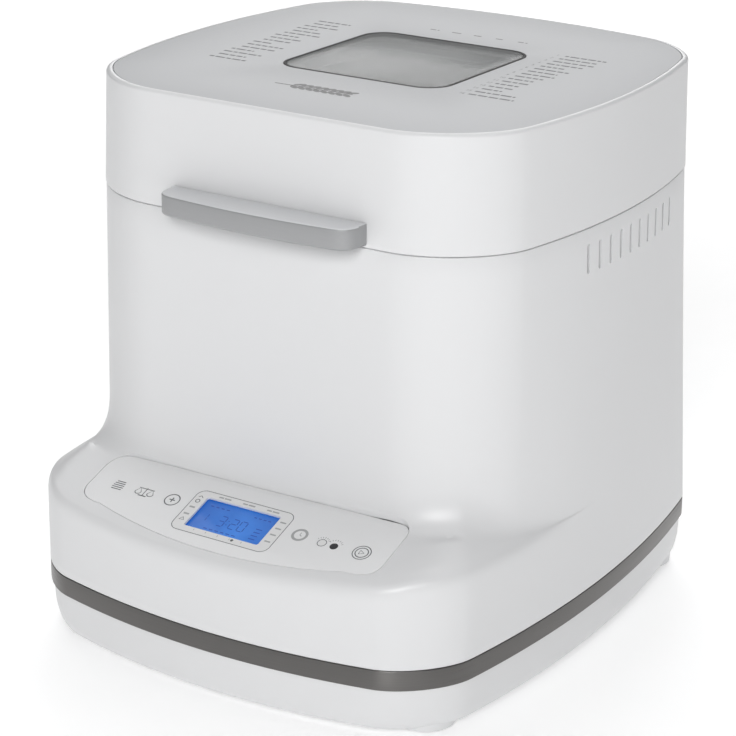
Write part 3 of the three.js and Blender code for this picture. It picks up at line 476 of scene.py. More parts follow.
def finish_of(
    name, colour, roughness, metallic=0, scale=300, tint=0.03, spread=0.05, bump=0.05, depth=0.05, second=None,
    detail=5.0, **extra
):
    """A procedural finish: noise, stretched along the grain, drives the colour, the gloss and a fine relief.

    The scale is the grain's, tint and spread are how far the colour and the gloss stray, and depth is in millimetres.
    """
    material = bpy.data.materials.new(name)
    material.use_nodes = True
    nodes = material.node_tree.nodes
    links = material.node_tree.links
    shader = nodes["Principled BSDF"]
    place = add_node(nodes, "TexCoord")
    mapping = add_node(nodes, "Mapping", Scale=scale if isinstance(scale, tuple) else (scale,) * 3)
    noise = add_node(nodes, "TexNoise", Scale=1.0, Detail=detail, Roughness=0.6)
    dark = [c * (1 - tint) for c in colour]
    light = [min(c * (1 + tint), 1) for c in second or colour]
    mix = add_node(nodes, "Mix", A=(*dark, 1), B=(*light, 1))
    smooth, rough = max(roughness - spread, 0.02), min(roughness + spread, 1)
    gloss = add_node(nodes, "MapRange", From_Min=0.3, From_Max=0.7, To_Min=smooth, To_Max=rough)
    relief = add_node(nodes, "Bump", Strength=bump, Distance=depth * MM)
    wire(
        links,
        (place, "Object", mapping, "Vector"), (mapping, "Vector", noise, "Vector"), (noise, "Fac", mix, "Factor"),
        (mix, "Result", shader, "Base Color"), (noise, "Fac", gloss, "Value"), (gloss, "Result", shader, "Roughness"),
        (noise, "Fac", relief, "Height"), (relief, "Normal", shader, "Normal"),
    )
    shader.inputs["Metallic"].default_value = metallic
    for key, value in extra.items():
        shader.inputs[SOCKETS[key]].default_value = value
    if "subsurface" in extra:
        shader.inputs["Subsurface Radius"].default_value = (0.6, 0.6, 0.6)
        shader.inputs["Subsurface Scale"].default_value = 0.0012
    if "glow" in extra:
        wire(links, (mix, "Result", shader, "Emission Color"))
    return material


WHITE = finish_of("white_gloss", (0.74, 0.743, 0.75), 0.34, 0, 24, 0.004, 0.02, 0.03, 0.02, detail=2.0)
DECK_FILM = finish_of("panel_film", (0.82, 0.822, 0.827), 0.4, 0, 500, 0.01, 0.04, 0.1, 0.01)
COVER_GREY = finish_of("cover_grey", (0.515, 0.522, 0.535), 0.52, 0, 700, 0.02, 0.05, 0.12, 0.01)
FRAME_GREY = finish_of("window_border", (0.5, 0.51, 0.53), 0.3, 0, 500, 0.02, 0.05, 0.05, 0.01)
BRUSHED_STEEL = finish_of(
    "brushed_steel", (0.17, 0.165, 0.16), 0.36, 1, (14, 14, 2600), 0.2, 0.1, 0.6, 0.03, anisotropic=0.85,
    anisotropic_rotation=0.25,
)
# The handle's aluminium in two tones of one metal: the top copy, twice as light, is painted light for the light that
# falls on the handle's top.
BRUSHED_ALUMINIUM, ALUMINIUM_PAINTED_LIGHT_TOP = (
    finish_of(
        name, (tone, tone * 1.01, tone * 1.03), 0.4, 0.25, scale=(60, 900, 900), tint=0.05, spread=0.06, bump=0.12,
        depth=0.02,
    )
    for name, tone in (("brushed_aluminium", 0.35), ("aluminium_painted_light_top", 0.7))
)
LINER_ALUMINIUM = finish_of("liner_aluminium", (0.6, 0.61, 0.62), 0.38, 1, (900, 18, 18), 0.1, 0.08, 0.12, 0.02)
ZINC = finish_of("zinc_sheet", (0.56, 0.57, 0.58), 0.42, 1, 90, 0.16, 0.12, 0.1, 0.03)
STEEL = finish_of("turned_steel", (0.55, 0.55, 0.56), 0.25, 1, (120, 120, 2400), 0.1, 0.08, 0.1, 0.01)
WIRE_STEEL = finish_of("drawn_wire", (0.6, 0.6, 0.61), 0.2, 1, 500, 0.08, 0.07, 0.08, 0.01)
DIE_CAST = finish_of("die_cast", (0.46, 0.47, 0.48), 0.52, 0.9, 700, 0.12, 0.1, 0.35, 0.06)
HEATER = finish_of(
    "heater_sheath", (0.1, 0.095, 0.09), 0.5, 0.8, 160, 0.25, 0.14, 0.3, 0.05, second=(0.17, 0.14, 0.115)
)
COATING = finish_of(
    "pan_coating", (0.045, 0.046, 0.048), 0.42, 0.25, 1500, 0.5, 0.14, 0.35, 0.04, second=(0.1, 0.1, 0.102),
    detail=2.0,
)
BLACK = finish_of("black_plastic", (0.022, 0.022, 0.024), 0.42, 0, 800, 0.2, 0.08, 0.3, 0.04)
RUBBER = finish_of("rubber", (0.028, 0.028, 0.029), 0.72, 0, 900, 0.25, 0.12, 0.4, 0.06)
SILICONE = finish_of("silicone", (0.42, 0.41, 0.39), 0.62, 0, 500, 0.06, 0.08, 0.2, 0.04, subsurface=0.2)
PRINT_GREY = finish_of("print_grey", (0.11, 0.113, 0.12), 0.5, 0, 900, 0.12, 0.06)
PRINT_PALE = finish_of("print_pale", (0.4, 0.405, 0.41), 0.5, 0, 900, 0.08, 0.06)
PRINT_BLACK = finish_of("print_black", (0.018, 0.018, 0.02), 0.42, 0, 900, 0.2, 0.06)
PRINT_WHITE = finish_of("print_white", (0.8, 0.8, 0.8), 0.4, 0, 900, 0.02, 0.06)
# The window glass: its grey colour, a third opaque, is a painted reflection of the room in the glass, whose own
# reflection is turned low.
WINDOW = finish_of("window_glass", (0.5, 0.51, 0.51), 0.2, 0, 30, 0.02, 0.02, 0.02, 0.01, alpha=0.34, specular=0.1)
INNER_WINDOW = finish_of(
    "inner_glass", (0.55, 0.545, 0.52), 0.1, 0, 25, 0.06, 0.03, 0.02, 0.01, alpha=0.45, specular=0.6
)
BOARD = finish_of("circuit_board", (0.02, 0.11, 0.045), 0.35, 0, 350, 0.3, 0.1, 0.2, 0.05, coat=0.4)
CAN = finish_of("capacitor_sleeve", (0.02, 0.03, 0.06), 0.35, 0, (300, 300, 40), 0.2, 0.06, 0.1, 0.02)


def display_finish():
    """A glowing blue display, brighter towards its middle and its lower edge: the darkening of its upper and left
    edges is painted shade from the recess it sits in.
    """
    material = finish_of(
        "lcd_blue", (0.02, 0.11, 0.42), 0.12, scale=70, tint=0.14, spread=0.03, bump=0.0, glow=0.62,
        second=(0.045, 0.18, 0.52), specular=0.4,
    )
    nodes = material.node_tree.nodes
    shader = nodes["Principled BSDF"]
    mixed = next(n for n in nodes if n.type == "MIX")
    place = next(n for n in nodes if n.type == "TEX_COORD")
    reach = 34 * MM
    corner = DECK_MATRIX @ (Vector((4.0, -4.0, 0.0)) * MM)
    middle = add_node(nodes, "Mapping", Location=[-c / reach for c in corner], Scale=(1 / reach,) * 3)
    # Painted shade: a gradient round a point right of and below the middle darkens the upper and left edges, where
    # the recess shadows the display.
    painted_recess_shade = nodes.new("ShaderNodeTexGradient")
    painted_recess_shade.gradient_type = "SPHERICAL"
    # The dark blue that the painted shade mixes in towards the edges.
    lit = add_node(nodes, "Mix", A=(0.014, 0.08, 0.33, 1))
    wire(
        material.node_tree.links,
        (place, "Object", middle, "Vector"), (middle, "Vector", painted_recess_shade, "Vector"), (painted_recess_shade, "Fac", lit, "Factor"),
        (mixed, "Result", lit, "B"), (lit, "Result", shader, "Base Color"), (lit, "Result", shader, "Emission Color"),
    )
    return material


LCD = display_finish()
LCD_DIGIT = finish_of("lcd_segment", (0.01, 0.05, 0.3), 0.2, 0, 500, 0.1, glow=0.35)


# ---------- camera, light and floor ----------
def aim(obj, place, target):
    obj.location = Vector(place) * MM
    direction = (Vector(target) - Vector(place)).normalized()
    obj.rotation_euler = direction.to_track_quat("-Z", "Y").to_euler()


def make_camera():
    place = (709.0, -1113.3, 619.8)
    azimuth, roll = math.radians(32.59), 0.0107
    back = Vector((0.50579, -0.79125, 0.34365)).normalized()
    right = Vector((math.cos(azimuth), math.sin(azimuth), 0))
    up = back.cross(right)
    across = right * math.cos(roll) + up * math.sin(roll)
    above = up * math.cos(roll) - right * math.sin(roll)
    camera = linked("camera", bpy.data.cameras.new("camera"))
    camera.data.sensor_width = 36
    camera.data.lens = 122.3
    camera.data.clip_end = 50
    turn = Matrix((across, above, back)).transposed().to_4x4()
    camera.matrix_world = Matrix.Translation(Vector(place) * MM) @ turn
    bpy.context.scene.camera = camera


def area_light(name, place, size, power):
    light = bpy.data.lights.new(name, "AREA")
    light.shape = "RECTANGLE"
    light.size, light.size_y = (side * MM for side in size)
    light.energy = power
    aim(linked(name, light), place, (0, -20, 120))


make_camera()
area_light("softbox_front", (950, -2300, 1500), (900, 900), 33)
area_light("softbox_right", (1900, -1600, 1500), (900, 900), 10)
area_light("softbox_rear", (-1300, 2300, 1300), (1600, 900), 13)
overhead = linked("overhead", bpy.data.lights.new("overhead", "SUN"))
overhead.data.energy = 1.5
overhead.data.angle = math.radians(75)
aim(overhead, (-500, 900, 2000), (0, 0, 0))
world = bpy.data.worlds.new("studio")
world.use_nodes = True
background = world.node_tree.nodes["Background"]
background.inputs["Color"].default_value = (0.97, 0.98, 1.0, 1)
background.inputs["Strength"].default_value = 0.1
bpy.context.scene.world = world
bpy.context.scene.view_settings.view_transform = "Standard"

FLOOR_HALF = 9000
corners = [(x * FLOOR_HALF, y * FLOOR_HALF, 0) for x, y in ((-1, -1), (1, -1), (1, 1), (-1, 1))]
floor = mesh_object("floor", corners, [(0, 1, 2, 3)])
floor.data.materials.append(
    finish_of("floor_paper", (0.97, 0.97, 0.97), 0.7, scale=40, tint=0.004, spread=0.05, bump=0.02, glow=0.25)
)


# ---------- base ----------
FEET = ((-110, -118), (110, -118), (-112, 126), (112, 126))
SCREWS = ((-84, -108), (84, -108), (-84, 116), (84, 116))
CORNER_NAMES = ("front_left", "front_right", "rear_left", "rear_right")
SOLE = [(0, 0.5), (6.4, 0.5), (7, 0), (9.9, 0), (11, 1.4), (11, 4.5), (0, 4.5)]


def base_tray():
    outer = [(9, 3), (5, 4.2), (3.2, 7.5), (1.6, 15), (0.5, TRAY_TOP)]
    inner = [(0.5 + WALL, TRAY_TOP), (1 + WALL, 24), (3 + WALL, 13), (9 + WALL, 6)]
    curve = round_profile([(60, 3), *outer, *inner, (60, 6)], [0, 3, 3, 4, 6, 0.4, 0.4, 5, 4, 3, 0, 0], 6)
    rings = []
    for margin, height in curve:
        reach = outline_reach(BASE_OUTLINE, min(margin, 12.5))
        rings.append((reach if margin < 59 else 30.0, height))
    shell = skin("base_tray_shell", polar_rings(rings))
    pieces = [shell, turned("plug", [(0, 3.05), (30.5, 3.05), (30.5, 5.95), (0, 5.95)], (0, CENTRE_Y), sides=96)]
    for place in FEET:
        pad = [(11.6, 1.5), (17, 1.5), (17, 9), (0, 9), (0, 4.9), (11.6, 4.9)]
        pieces.append(turned("pad", pad, place, sides=64, radii=[0.4, 1, 0, 0, 0, 0]))
    for place in SCREWS:
        boss = [(2.4, 3.2), (7, 3.2), (7, 43.7), (2.4, 43.7)]
        pieces.append(turned("boss", boss, place, sides=40, radii=0.3))
        well = [(5, 2.7), (6.6, 2.7), (6.6, 8.2), (5, 8.2)]
        pieces.append(turned("well", well, place, sides=40, radii=0.25))
    return join("base_tray_skin", pieces)


show(base_tray(), "body", "white_plastic", WHITE, "base_tray")
section = [(0.02, BAND[0]), (0.02, BAND[1]), (2, BAND[1]), (2, BAND[0])]
section = round_profile(section, [0.5, 0.5, 0.3, 0.3], 5)
band = skin("trim_band_skin", polar_rings([(outline_reach(BASE_OUTLINE, round(m, 3)), z) for m, z in section]))
show(band, "body", "trim_steel", BRUSHED_STEEL, "trim_band")
for corner, place in zip(CORNER_NAMES, FEET):
    foot = turned(f"foot_{corner}_pad", SOLE, place, sides=64, radii=[0, 0.4, 0.4, 0.8, 0.6, 0.2, 0])
    show(foot, "body", "rubber", RUBBER, f"foot_{corner}")


# ---------- housing ----------
BASE_REACH = outline_reach(BASE_OUTLINE)
TOWER_REACH = outline_reach(LID_LOW, TOWER_INSET)


def smooth_step(low_end, high_end, value):
    t = np.clip((value - low_end) / (high_end - low_end), 0, 1)
    return t * t * (3 - 2 * t)


def housing_rows(shrink):
    """The housing's section in every direction: up the base, over the shoulder, up the deck, up the tower."""
    sine = np.sin(ANGLES)
    flank = smooth_step(-75, 0, CENTRE_Y + TOWER_REACH * sine)
    cornering = smooth_step(20, 110, np.abs(TOWER_REACH * np.cos(ANGLES)))
    tower_low = TOWER_REACH + FLARE[0] + (FLARE[1] - FLARE[0]) * cornering
    tower_low = tower_low + (BASE_REACH - tower_low) * flank
    base_high = BASE_REACH + (TOWER_REACH - BASE_REACH) * flank

    def rise(z):
        return (z - HOUSING[0]) / (HOUSING[1] - HOUSING[0])

    def tower(z):
        return tower_low + (TOWER_REACH - tower_low) * rise(z) - shrink

    def base(z):
        return BASE_REACH + (base_high - BASE_REACH) * rise(z) - shrink

    def plane_at(y):
        return DECK_EDGE[1] + (y - DECK_EDGE[0]) * math.tan(DECK_SLOPE)

    def deck(out):
        plane = plane_at(CENTRE_Y + out * sine)
        rim = np.minimum(plane_at(CENTRE_Y + BASE_REACH * sine), DECK_RIM)
        flank_slope = rim + RIM_SLOPE * (BASE_REACH - out)
        blend = np.maximum(2 - np.abs(plane - flank_slope), 0)
        return np.minimum(plane, flank_slope) - blend**2 / 8 - shrink / math.cos(DECK_SLOPE)

    def on_deck(wall):
        z = np.full_like(sine, 90.0)
        for _ in range(14):
            z = deck(wall(z))
        return np.stack([wall(z), z], 1)

    shoulder = on_deck(base)
    hollow = on_deck(tower)
    width = np.maximum(np.hypot(*(shoulder - hollow).T), 1e-6)[:, None]
    below = np.stack([base(shoulder[:, 1] - SHOULDER_DOWN), shoulder[:, 1] - SHOULDER_DOWN], 1)
    above = np.stack([tower(hollow[:, 1] + HOLLOW_UP), hollow[:, 1] + HOLLOW_UP], 1)
    edge = shoulder + (hollow - shoulder) * np.minimum(SHOULDER_IN, width * 0.4) / width
    out_by = (HOLLOW_OUT[0] + (HOLLOW_OUT[1] - HOLLOW_OUT[0]) * cornering)[:, None]
    foot = hollow + (shoulder - hollow) * np.minimum(out_by, width * 0.5) / width
    rows = []

    def run(start, end, steps):
        for t in np.linspace(0, 1, steps + 1)[1:-1]:
            rows.append(start + (end - start) * t)

    def run_on_deck(start, end, steps):
        for t in np.linspace(0, 1, steps + 1)[1:-1]:
            out = (start + (end - start) * t)[:, 0]
            rows.append(np.stack([out, deck(out + shrink)], 1))

    def bend(start, corner, end):
        for t in np.linspace(0, 1, 11):
            rows.append((1 - t) ** 2 * start + 2 * t * (1 - t) * corner + t * t * end)

    floor_row = np.stack([BASE_REACH - shrink, np.full_like(sine, HOUSING[0])], 1)
    top_row = np.stack([TOWER_REACH - shrink, np.full_like(sine, HOUSING[1])], 1)
    run(floor_row, below, 6)
    bend(below, shoulder, edge)
    run_on_deck(edge, foot, 8)
    bend(foot, hollow, above)
    run(above, top_row, 10)
    return floor_row, rows, top_row


def housing_skin():
    floor_out, outside, top_out = housing_rows(0)
    floor_in, inside, top_in = housing_rows(WALL)
    rings = []
    for drawn_in, lifted in ((0.5, 0.0), (0.15, 0.15), (0.0, 0.5)):
        rings.append((floor_out[:, 0] - drawn_in, floor_out[:, 1] + lifted))
    rings += [(row[:, 0], row[:, 1]) for row in outside]
    for drawn_in, dropped in ((0.0, 0.7), (0.2, 0.2), (0.7, 0.0)):
        rings.append((top_out[:, 0] - drawn_in, top_out[:, 1] - dropped))
    rim_in = top_in[:, 0]
    rings += [(rim_in + 0.3, HOUSING[1]), (rim_in, HOUSING[1] - 0.3), (rim_in, HOUSING[1] - 2.4)]
    mouth = square_reach(CHAMBER_HALF + 4, 28)
    rings += [(mouth, HOUSING[1] - 2.4), (mouth, HOUSING[1] - 5.2), (rim_in - 0.5, HOUSING[1] - 5.2)]
    rings += [(row[:, 0], row[:, 1]) for row in reversed(inside)]
    rings.append((floor_in[:, 0], floor_in[:, 1]))
    return skin("housing_skin", polar_rings(rings), True, 40)


def box_between(name, low_corner, high_corner, radius=0.0):
    size = [b - a for a, b in zip(low_corner, high_corner)]
    middle = [(a + b) / 2 for a, b in zip(low_corner, high_corner)]
    return rounded_box(name, size, middle, radius)


def pocket_cutter():
    """The hinge pocket, with its two lower corners rounded."""
    half, radius = POCKET["half"], 9.6
    low_row = POCKET["floor"] + radius
    turn = [(radius * math.cos(t), radius * math.sin(t)) for t in np.linspace(0, math.pi / 2, 10)]
    outline = [(half - radius + sine, low_row - cosine) for cosine, sine in turn]
    outline += [(half, 270.0), (-half, 270.0)]
    outline += [(radius - half - cosine, low_row - sine) for cosine, sine in turn]
    cutter = prism("pocket", outline, -190, -POCKET["front"])
    return move(cutter, Matrix.Rotation(math.pi / 2, 4, "X"))


def slot_cutter(side, y):
    """A round-ended slot through a side wall."""
    radius = 1.4
    ends = []
    for centre, start in ((235.6, 0.0), (222.4, math.pi)):
        for t in np.linspace(0, math.pi, 10):
            ends.append((y + radius * math.cos(start + t), centre + radius * math.sin(start + t)))
    cyclic = Matrix(((0, 0, side, 0), (1, 0, 0, 0), (0, 1, 0, 0), (0, 0, 0, 1)))
    cutter = move(prism("slot", ends, 120, 150), cyclic)
    if side < 0:
        cutter.data.flip_normals()
    return cutter


def panel_outline(grow=0.0):
    left, right = -95 - grow, 95 + grow
    rear_left, rear_right = 26.5 + grow, 29 + grow
    front, bow = -13 - grow, -24.5 - grow
    points = []
    for start, corner, end in (
        ((left + 14, rear_left), (left, rear_left), (left, rear_left - 14)),
        ((left, front + 12), (left, front), (left + 16, front)),
        ((left + 16, front), (2, bow * 2 - front), (right - 16, front)),
        ((right - 16, front), (right, front), (right, front + 12)),
        ((right, rear_right - 8), (right, rear_right), (right - 8, rear_right)),
    ):
        points += list(arc_steps(start, corner, end, 14))[:-1]
        points.append(np.asarray(end, float))
    kept = [points[0]]
    for point in points[1:]:
        if np.linalg.norm(point - kept[-1]) > 1e-6:
            kept.append(point)
    return np.array(kept)


def rounded_rectangle(half_x, half_y, radius):
    points = []
    for k, (across, up) in enumerate(((1, 1), (-1, 1), (-1, -1), (1, -1))):
        x, y = across * (half_x - radius), up * (half_y - radius)
        for t in np.linspace(0, math.pi / 2, 8) + k * math.pi / 2:
            points.append((x + radius * math.cos(t), y + radius * math.sin(t)))
    return np.array(points)


def lying_tube(name, profile, x, y, z, radii=0.2):
    """A turned piece whose axis lies along X."""
    return turn_to(turned(name, profile, sides=40, radii=radii), (x, y, z), "Y")


def along_y(obj, x, y, z):
    """Turns an upright piece to lie along Y, its base at the rear."""
    return turn_to(obj, (x, y, z), "X")


def housing():
    shell = housing_skin()
    recess = move(prism("recess", panel_outline(0.3), -1.5, 9), DECK_MATRIX)
    gland_seat = along_y(turned("seat", [(0, 0), (9, 0), (9, 26.2), (0, 26.2)], sides=48), 96, 180, 62)
    slots = [slot_cutter(side, -11 + 11.4 * i) for side in (-1, 1) for i in range(10)]
    carve(shell, [recess, pocket_cutter(), gland_seat, *slots])
    display = move(prism("display", rounded_rectangle(25.5, 13.5, 1.5), -12, 5), DECK_MATRIX)
    gland = along_y(turned("gland", [(0, 0), (6.3, 0), (6.3, 60), (0, 60)], sides=48), 96, 185, 62)
    carve(shell, [display, gland])
    limits = [(TOWER_REACH - 0.05, z) for z in (150.0, HOUSING[1] - 0.05)]
    outside = skin("outside", polar_rings(limits), False)
    half = POCKET["half"] + 2
    lining = box_between("lining", (-half, POCKET["front"] - 2, POCKET["floor"] - 2), (half, 185, 262))
    carve(lining, [pocket_cutter()])
    carve(lining, [outside], "INTERSECT")
    pieces = [shell, lining]
    near, far = POCKET["front"] - 1, HINGE_Y - 4
    for x in (-HINGE_X, HINGE_X):
        pieces.append(box_between("arm", (x - 5, near, HINGE_Z - 6), (x + 5, far, HINGE_Z + 6), 0.6))
        pieces.append(lying_tube("eye", [(2.8, -5), (6, -5), (6, 5), (2.8, 5)], x, HINGE_Y, HINGE_Z))
    return join("housing_moulding", pieces)


show(housing(), "body", "white_plastic", WHITE, "housing")


def vent_shield(side):
    """A curved sheet a little way behind the vent slots, which keeps the works out of sight."""
    wall = bowed_outline(**inset(LID_LOW, TOWER_INSET + WALL + 2.2), count=60)
    part = wall[(side * wall[:, 0] > 90) & (wall[:, 1] > -30) & (wall[:, 1] < 107)]
    part = part[np.argsort(part[:, 1])]
    outline = np.concatenate([part, (part - [side * 1.2, 0])[::-1]])
    return prism("shield", outline, 214, 239)


show(join("vent_shields", [vent_shield(-1), vent_shield(1)]), "body", "white_plastic", WHITE)


# ---------- printing ----------
DIGITS = {
    "0": [[(0.1, 0.22), (0.3, 0), (0.5, 0.22), (0.5, 0.78), (0.3, 1), (0.1, 0.78), (0.1, 0.22)]],
    "1": [[(0.15, 0.8), (0.36, 1), (0.36, 0)]],
    "2": [[(0.1, 0.8), (0.3, 1), (0.5, 0.8), (0.48, 0.62), (0.1, 0), (0.52, 0)]],
    "3": [[
        (0.1, 0.9), (0.3, 1), (0.5, 0.84), (0.44, 0.6), (0.26, 0.53),
        (0.48, 0.44), (0.52, 0.2), (0.3, 0), (0.08, 0.1),
    ]],
    "4": [[(0.42, 0), (0.42, 1), (0.06, 0.3), (0.56, 0.3)]],
    "5": [[(0.5, 1), (0.15, 1), (0.12, 0.56), (0.35, 0.62), (0.52, 0.42), (0.48, 0.1), (0.26, 0), (0.08, 0.1)]],
    "6": [[(0.45, 1), (0.2, 0.7), (0.1, 0.3), (0.24, 0), (0.45, 0.06), (0.52, 0.3), (0.38, 0.5), (0.13, 0.42)]],
    "7": [[(0.1, 1), (0.52, 1), (0.24, 0)]],
    "8": [[
        (0.3, 0.53), (0.12, 0.76), (0.3, 1), (0.48, 0.76), (0.3, 0.53),
        (0.1, 0.26), (0.3, 0), (0.5, 0.26), (0.3, 0.53),
    ]],
    "9": [[(0.15, 0), (0.4, 0.3), (0.5, 0.7), (0.36, 1), (0.15, 0.94), (0.08, 0.7), (0.22, 0.5), (0.47, 0.58)]],
}


class Print:
    """Flat marks gathered into one mesh: lines, rings, dots and digits."""

    def __init__(self):
        self.points = []
        self.faces = []

    def patch(self, points):
        start = len(self.points)
        self.points += [tuple(p) for p in points]
        self.faces.append(tuple(range(start, start + len(points))))

    def line(self, points, width, closed=False):
        p = np.asarray(points, float)
        ahead = np.roll(p, -1, 0) - p
        behind = p - np.roll(p, 1, 0)
        if not closed:
            ahead[-1] = behind[-1]
            behind[0] = ahead[0]
        along = ahead / np.linalg.norm(ahead, axis=1)[:, None] + behind / np.linalg.norm(behind, axis=1)[:, None]
        along /= np.maximum(np.linalg.norm(along, axis=1), 1e-9)[:, None]
        side = np.stack([-along[:, 1], along[:, 0]], 1) * width / 2
        start = len(self.points)
        for left, right in zip(p + side, p - side):
            self.points += [tuple(left), tuple(right)]
        count = len(p)
        for i in range(count if closed else count - 1):
            a, b = start + 2 * i, start + 2 * ((i + 1) % count)
            self.faces.append((a, a + 1, b + 1, b))

    def ring(self, x, y, radius, width=0.35, start=0.0, sweep=2 * math.pi, count=40):
        closed = sweep >= 2 * math.pi - 1e-6
        angles = np.linspace(start, start + sweep, count, endpoint=not closed)
        self.line(np.stack([x + radius * np.cos(angles), y + radius * np.sin(angles)], 1), width, closed)

    def dot(self, x, y, radius):
        angles = np.linspace(0, 2 * math.pi, 28, endpoint=False)
        self.patch([(x + radius * math.cos(a), y + radius * math.sin(a)) for a in angles])

    def bar(self, x0, y0, x1, y1):
        self.patch([(x0, y0), (x1, y0), (x1, y1), (x0, y1)])

    def number(self, text, x, y, height, width):
        for character in text:
            for stroke in DIGITS[character]:
                self.line([(x + px * height, y + py * height) for px, py in stroke], width)
            x += 0.68 * height
        return x

    def words(self, chance, x, y, length, height):
        """A row of short bars in place of a line of writing."""
        end = x + length
        while x < end - 0.8:
            word = min(chance.uniform(2.2, 6.5), end - x)
            self.bar(x, y, x + word, y + height)
            x += word + 0.9

    def build(self, name, matrix, lift=0.035):
        points = [(x, y, lift) for x, y in self.points]
        mesh = bpy.data.meshes.new(name)
        mesh.from_pydata([tuple(c * MM for c in p) for p in points], [], self.faces)
        return move(linked(name, mesh), matrix)


# ---------- control panel ----------
def control_panel():
    panel = prism("control_panel_film", panel_outline(), -1.2, 0.0, 0.12)
    carve(panel, [prism("hole", rounded_rectangle(*LCD_HALF, 1.2), -3, 3)], smooth_angle=30)
    return move(panel, DECK_MATRIX)


show(control_panel(), "body", "white_plastic", DECK_FILM, "control_panel")


lcd_glass = move(prism("lcd_display", rounded_rectangle(25, 13, 1.2), -6, -1.8, 0.1), DECK_MATRIX)
show(lcd_glass, "body", "display", LCD, "lcd_module")
lcd_holder = move(prism("lcd_holder", rounded_rectangle(31, 17, 1), -10, -5.4, 0.3), DECK_MATRIX)
show(lcd_holder, "body", "black_plastic", BLACK)


def seven_segment(sheet, character, x, y, height, width=0.55):
    """One digit of a display, in straight segments."""
    w = height * 0.5
    bars = {
        "a": [(0, 1), (1, 1)], "b": [(1, 1), (1, 0.5)], "c": [(1, 0.5), (1, 0)], "d": [(0, 0), (1, 0)],
        "e": [(0, 0.5), (0, 0)], "f": [(0, 1), (0, 0.5)], "g": [(0, 0.5), (1, 0.5)],
    }
    lit = {"0": "abcdef", "1": "bc", "2": "abged", "3": "abgcd"}[character]
    for name in lit:
        (x0, y0), (x1, y1) = bars[name]
        start = np.array([x + x0 * w, y + y0 * height])
        end = np.array([x + x1 * w, y + y1 * height])
        gap = (end - start) * 0.1
        sheet.line([start + gap, end - gap], width)


def lcd_marks():
    marks = Print()
    for x, character in ((-8.5, "3"), (-1.0, "2"), (4.5, "0")):
        seven_segment(marks, character, x, -4.5, 7.5)
    marks.dot(-2.9, -2.4, 0.35)
    marks.dot(-2.9, 0.6, 0.35)
    seven_segment(marks, "1", -19.0, -3.5, 5.5, 0.45)
    for i in range(4):
        marks.bar(-19.5 + 3.4 * i, 7.6, -17.6 + 3.4 * i, 8.3)
        marks.bar(8.5 + 3.0 * i, 7.6, 10.2 + 3.0 * i, 8.3)
        marks.bar(14.5, -7.6 + 2.6 * i, 18.5, -7.0 + 2.6 * i)
    for i in range(6):
        marks.bar(-13.5 + 3.6 * i, -8.8, -11.2 + 3.6 * i, -8.2)
    return marks.build("lcd_segments", DECK_MATRIX @ Matrix.Translation((0, 0, -1.8 * MM)))


show(lcd_marks(), "body", "display", LCD_DIGIT)

EYE_LINE = 3.0  # the touch marks lie this far up the slope from the display's middle


def panel_marks():
    grey = Print()
    grey.line(rounded_rectangle(31, 16, 5), 0.4, True)
    for i in range(5):  # a stack of slices
        y = EYE_LINE - 3.0 + 1.5 * i
        width = 3.6 - 0.14 * (i - 1.5) ** 2
        grey.line([(-77.5 - width, y), (-77.5 + width, y)], 0.62)
    grey.line([(-65.0, EYE_LINE + 2.6), (-55.0, EYE_LINE + 2.6)], 0.5)  # scales
    grey.line([(-60.0, EYE_LINE + 3.4), (-60.0, EYE_LINE - 2.8)], 0.5)
    grey.line([(-62.6, EYE_LINE - 3.0), (-57.4, EYE_LINE - 3.0)], 0.7)
    for x in (-64.0, -56.0):
        grey.line([(x - 1.8, EYE_LINE - 0.4), (x, EYE_LINE + 2.6), (x + 1.8, EYE_LINE - 0.4)], 0.35)
        grey.ring(x, EYE_LINE - 0.4, 1.9, 0.5, math.pi, math.pi, 14)
    grey.ring(-41.5, EYE_LINE, 4.3, 0.65)  # plus in a ring
    grey.line([(-43.3, EYE_LINE), (-39.7, EYE_LINE)], 0.7)
    grey.line([(-41.5, EYE_LINE - 1.8), (-41.5, EYE_LINE + 1.8)], 0.7)
    grey.ring(55.5, EYE_LINE - 1.2, 2.5, 0.4)  # crust: light and dark
    for i in range(7):
        angle = math.radians(35 + 18.5 * i)
        for x, radius in ((55.5, 3.6), (63.0, 3.9)):
            ray = [(x + r * math.cos(angle), EYE_LINE - 1.2 + r * math.sin(angle)) for r in (radius, radius + 1.0)]
            grey.line(ray, 0.22)
    grey.ring(79.5, EYE_LINE - 0.5, 5.0, 0.5)  # start and stop
    grey.ring(79.5, EYE_LINE - 0.5, 3.5, 0.55)
    grey.line([(78.2, EYE_LINE + 1.0), (80.9, EYE_LINE - 0.5), (78.2, EYE_LINE - 2.0)], 0.5, True)
    pale = Print()
    pale.ring(41.0, EYE_LINE, 3.9, 1.5)  # clock
    pale.line([(41.0, EYE_LINE + 1.9), (41.0, EYE_LINE), (42.4, EYE_LINE - 0.7)], 0.5)
    for i in range(3):  # marks round the display
        x = -13.5 + 15.5 * i
        pale.bar(x - 4.2, 13.3, x - 1.2, 14.3)
        pale.bar(x - 0.6, 13.3, x + 3.6, 14.3)
    for x, y in ((27.3, 8.0), (27.3, 3.0), (27.3, -2.0), (27.3, -7.5)):
        pale.bar(x - 1.8, y - 0.5, x + 1.8, y + 0.5)
    for y in (2.0, -3.6):
        pale.bar(-29.2, y - 0.6, -25.8, y + 0.6)
    grey.ring(-27.5, 7.2, 1.2, 0.5)
    grey.line([(-28.9, 10.2), (-27.5, 11.4), (-26.1, 10.2)], 0.5)
    grey.line([(-29.0, -8.6), (-26.0, -8.6), (-27.5, -6.6)], 0.55, True)
    for i in range(5):
        pale.line([(-16.0 + 7.6 * i, -12.6), (-16.0 + 7.6 * i, -13.8)], 0.4)
    grey.dot(8.6, -13.4, 0.9)
    return grey.build("panel_marks", DECK_MATRIX), pale.build("panel_marks_pale", DECK_MATRIX, 0.03)


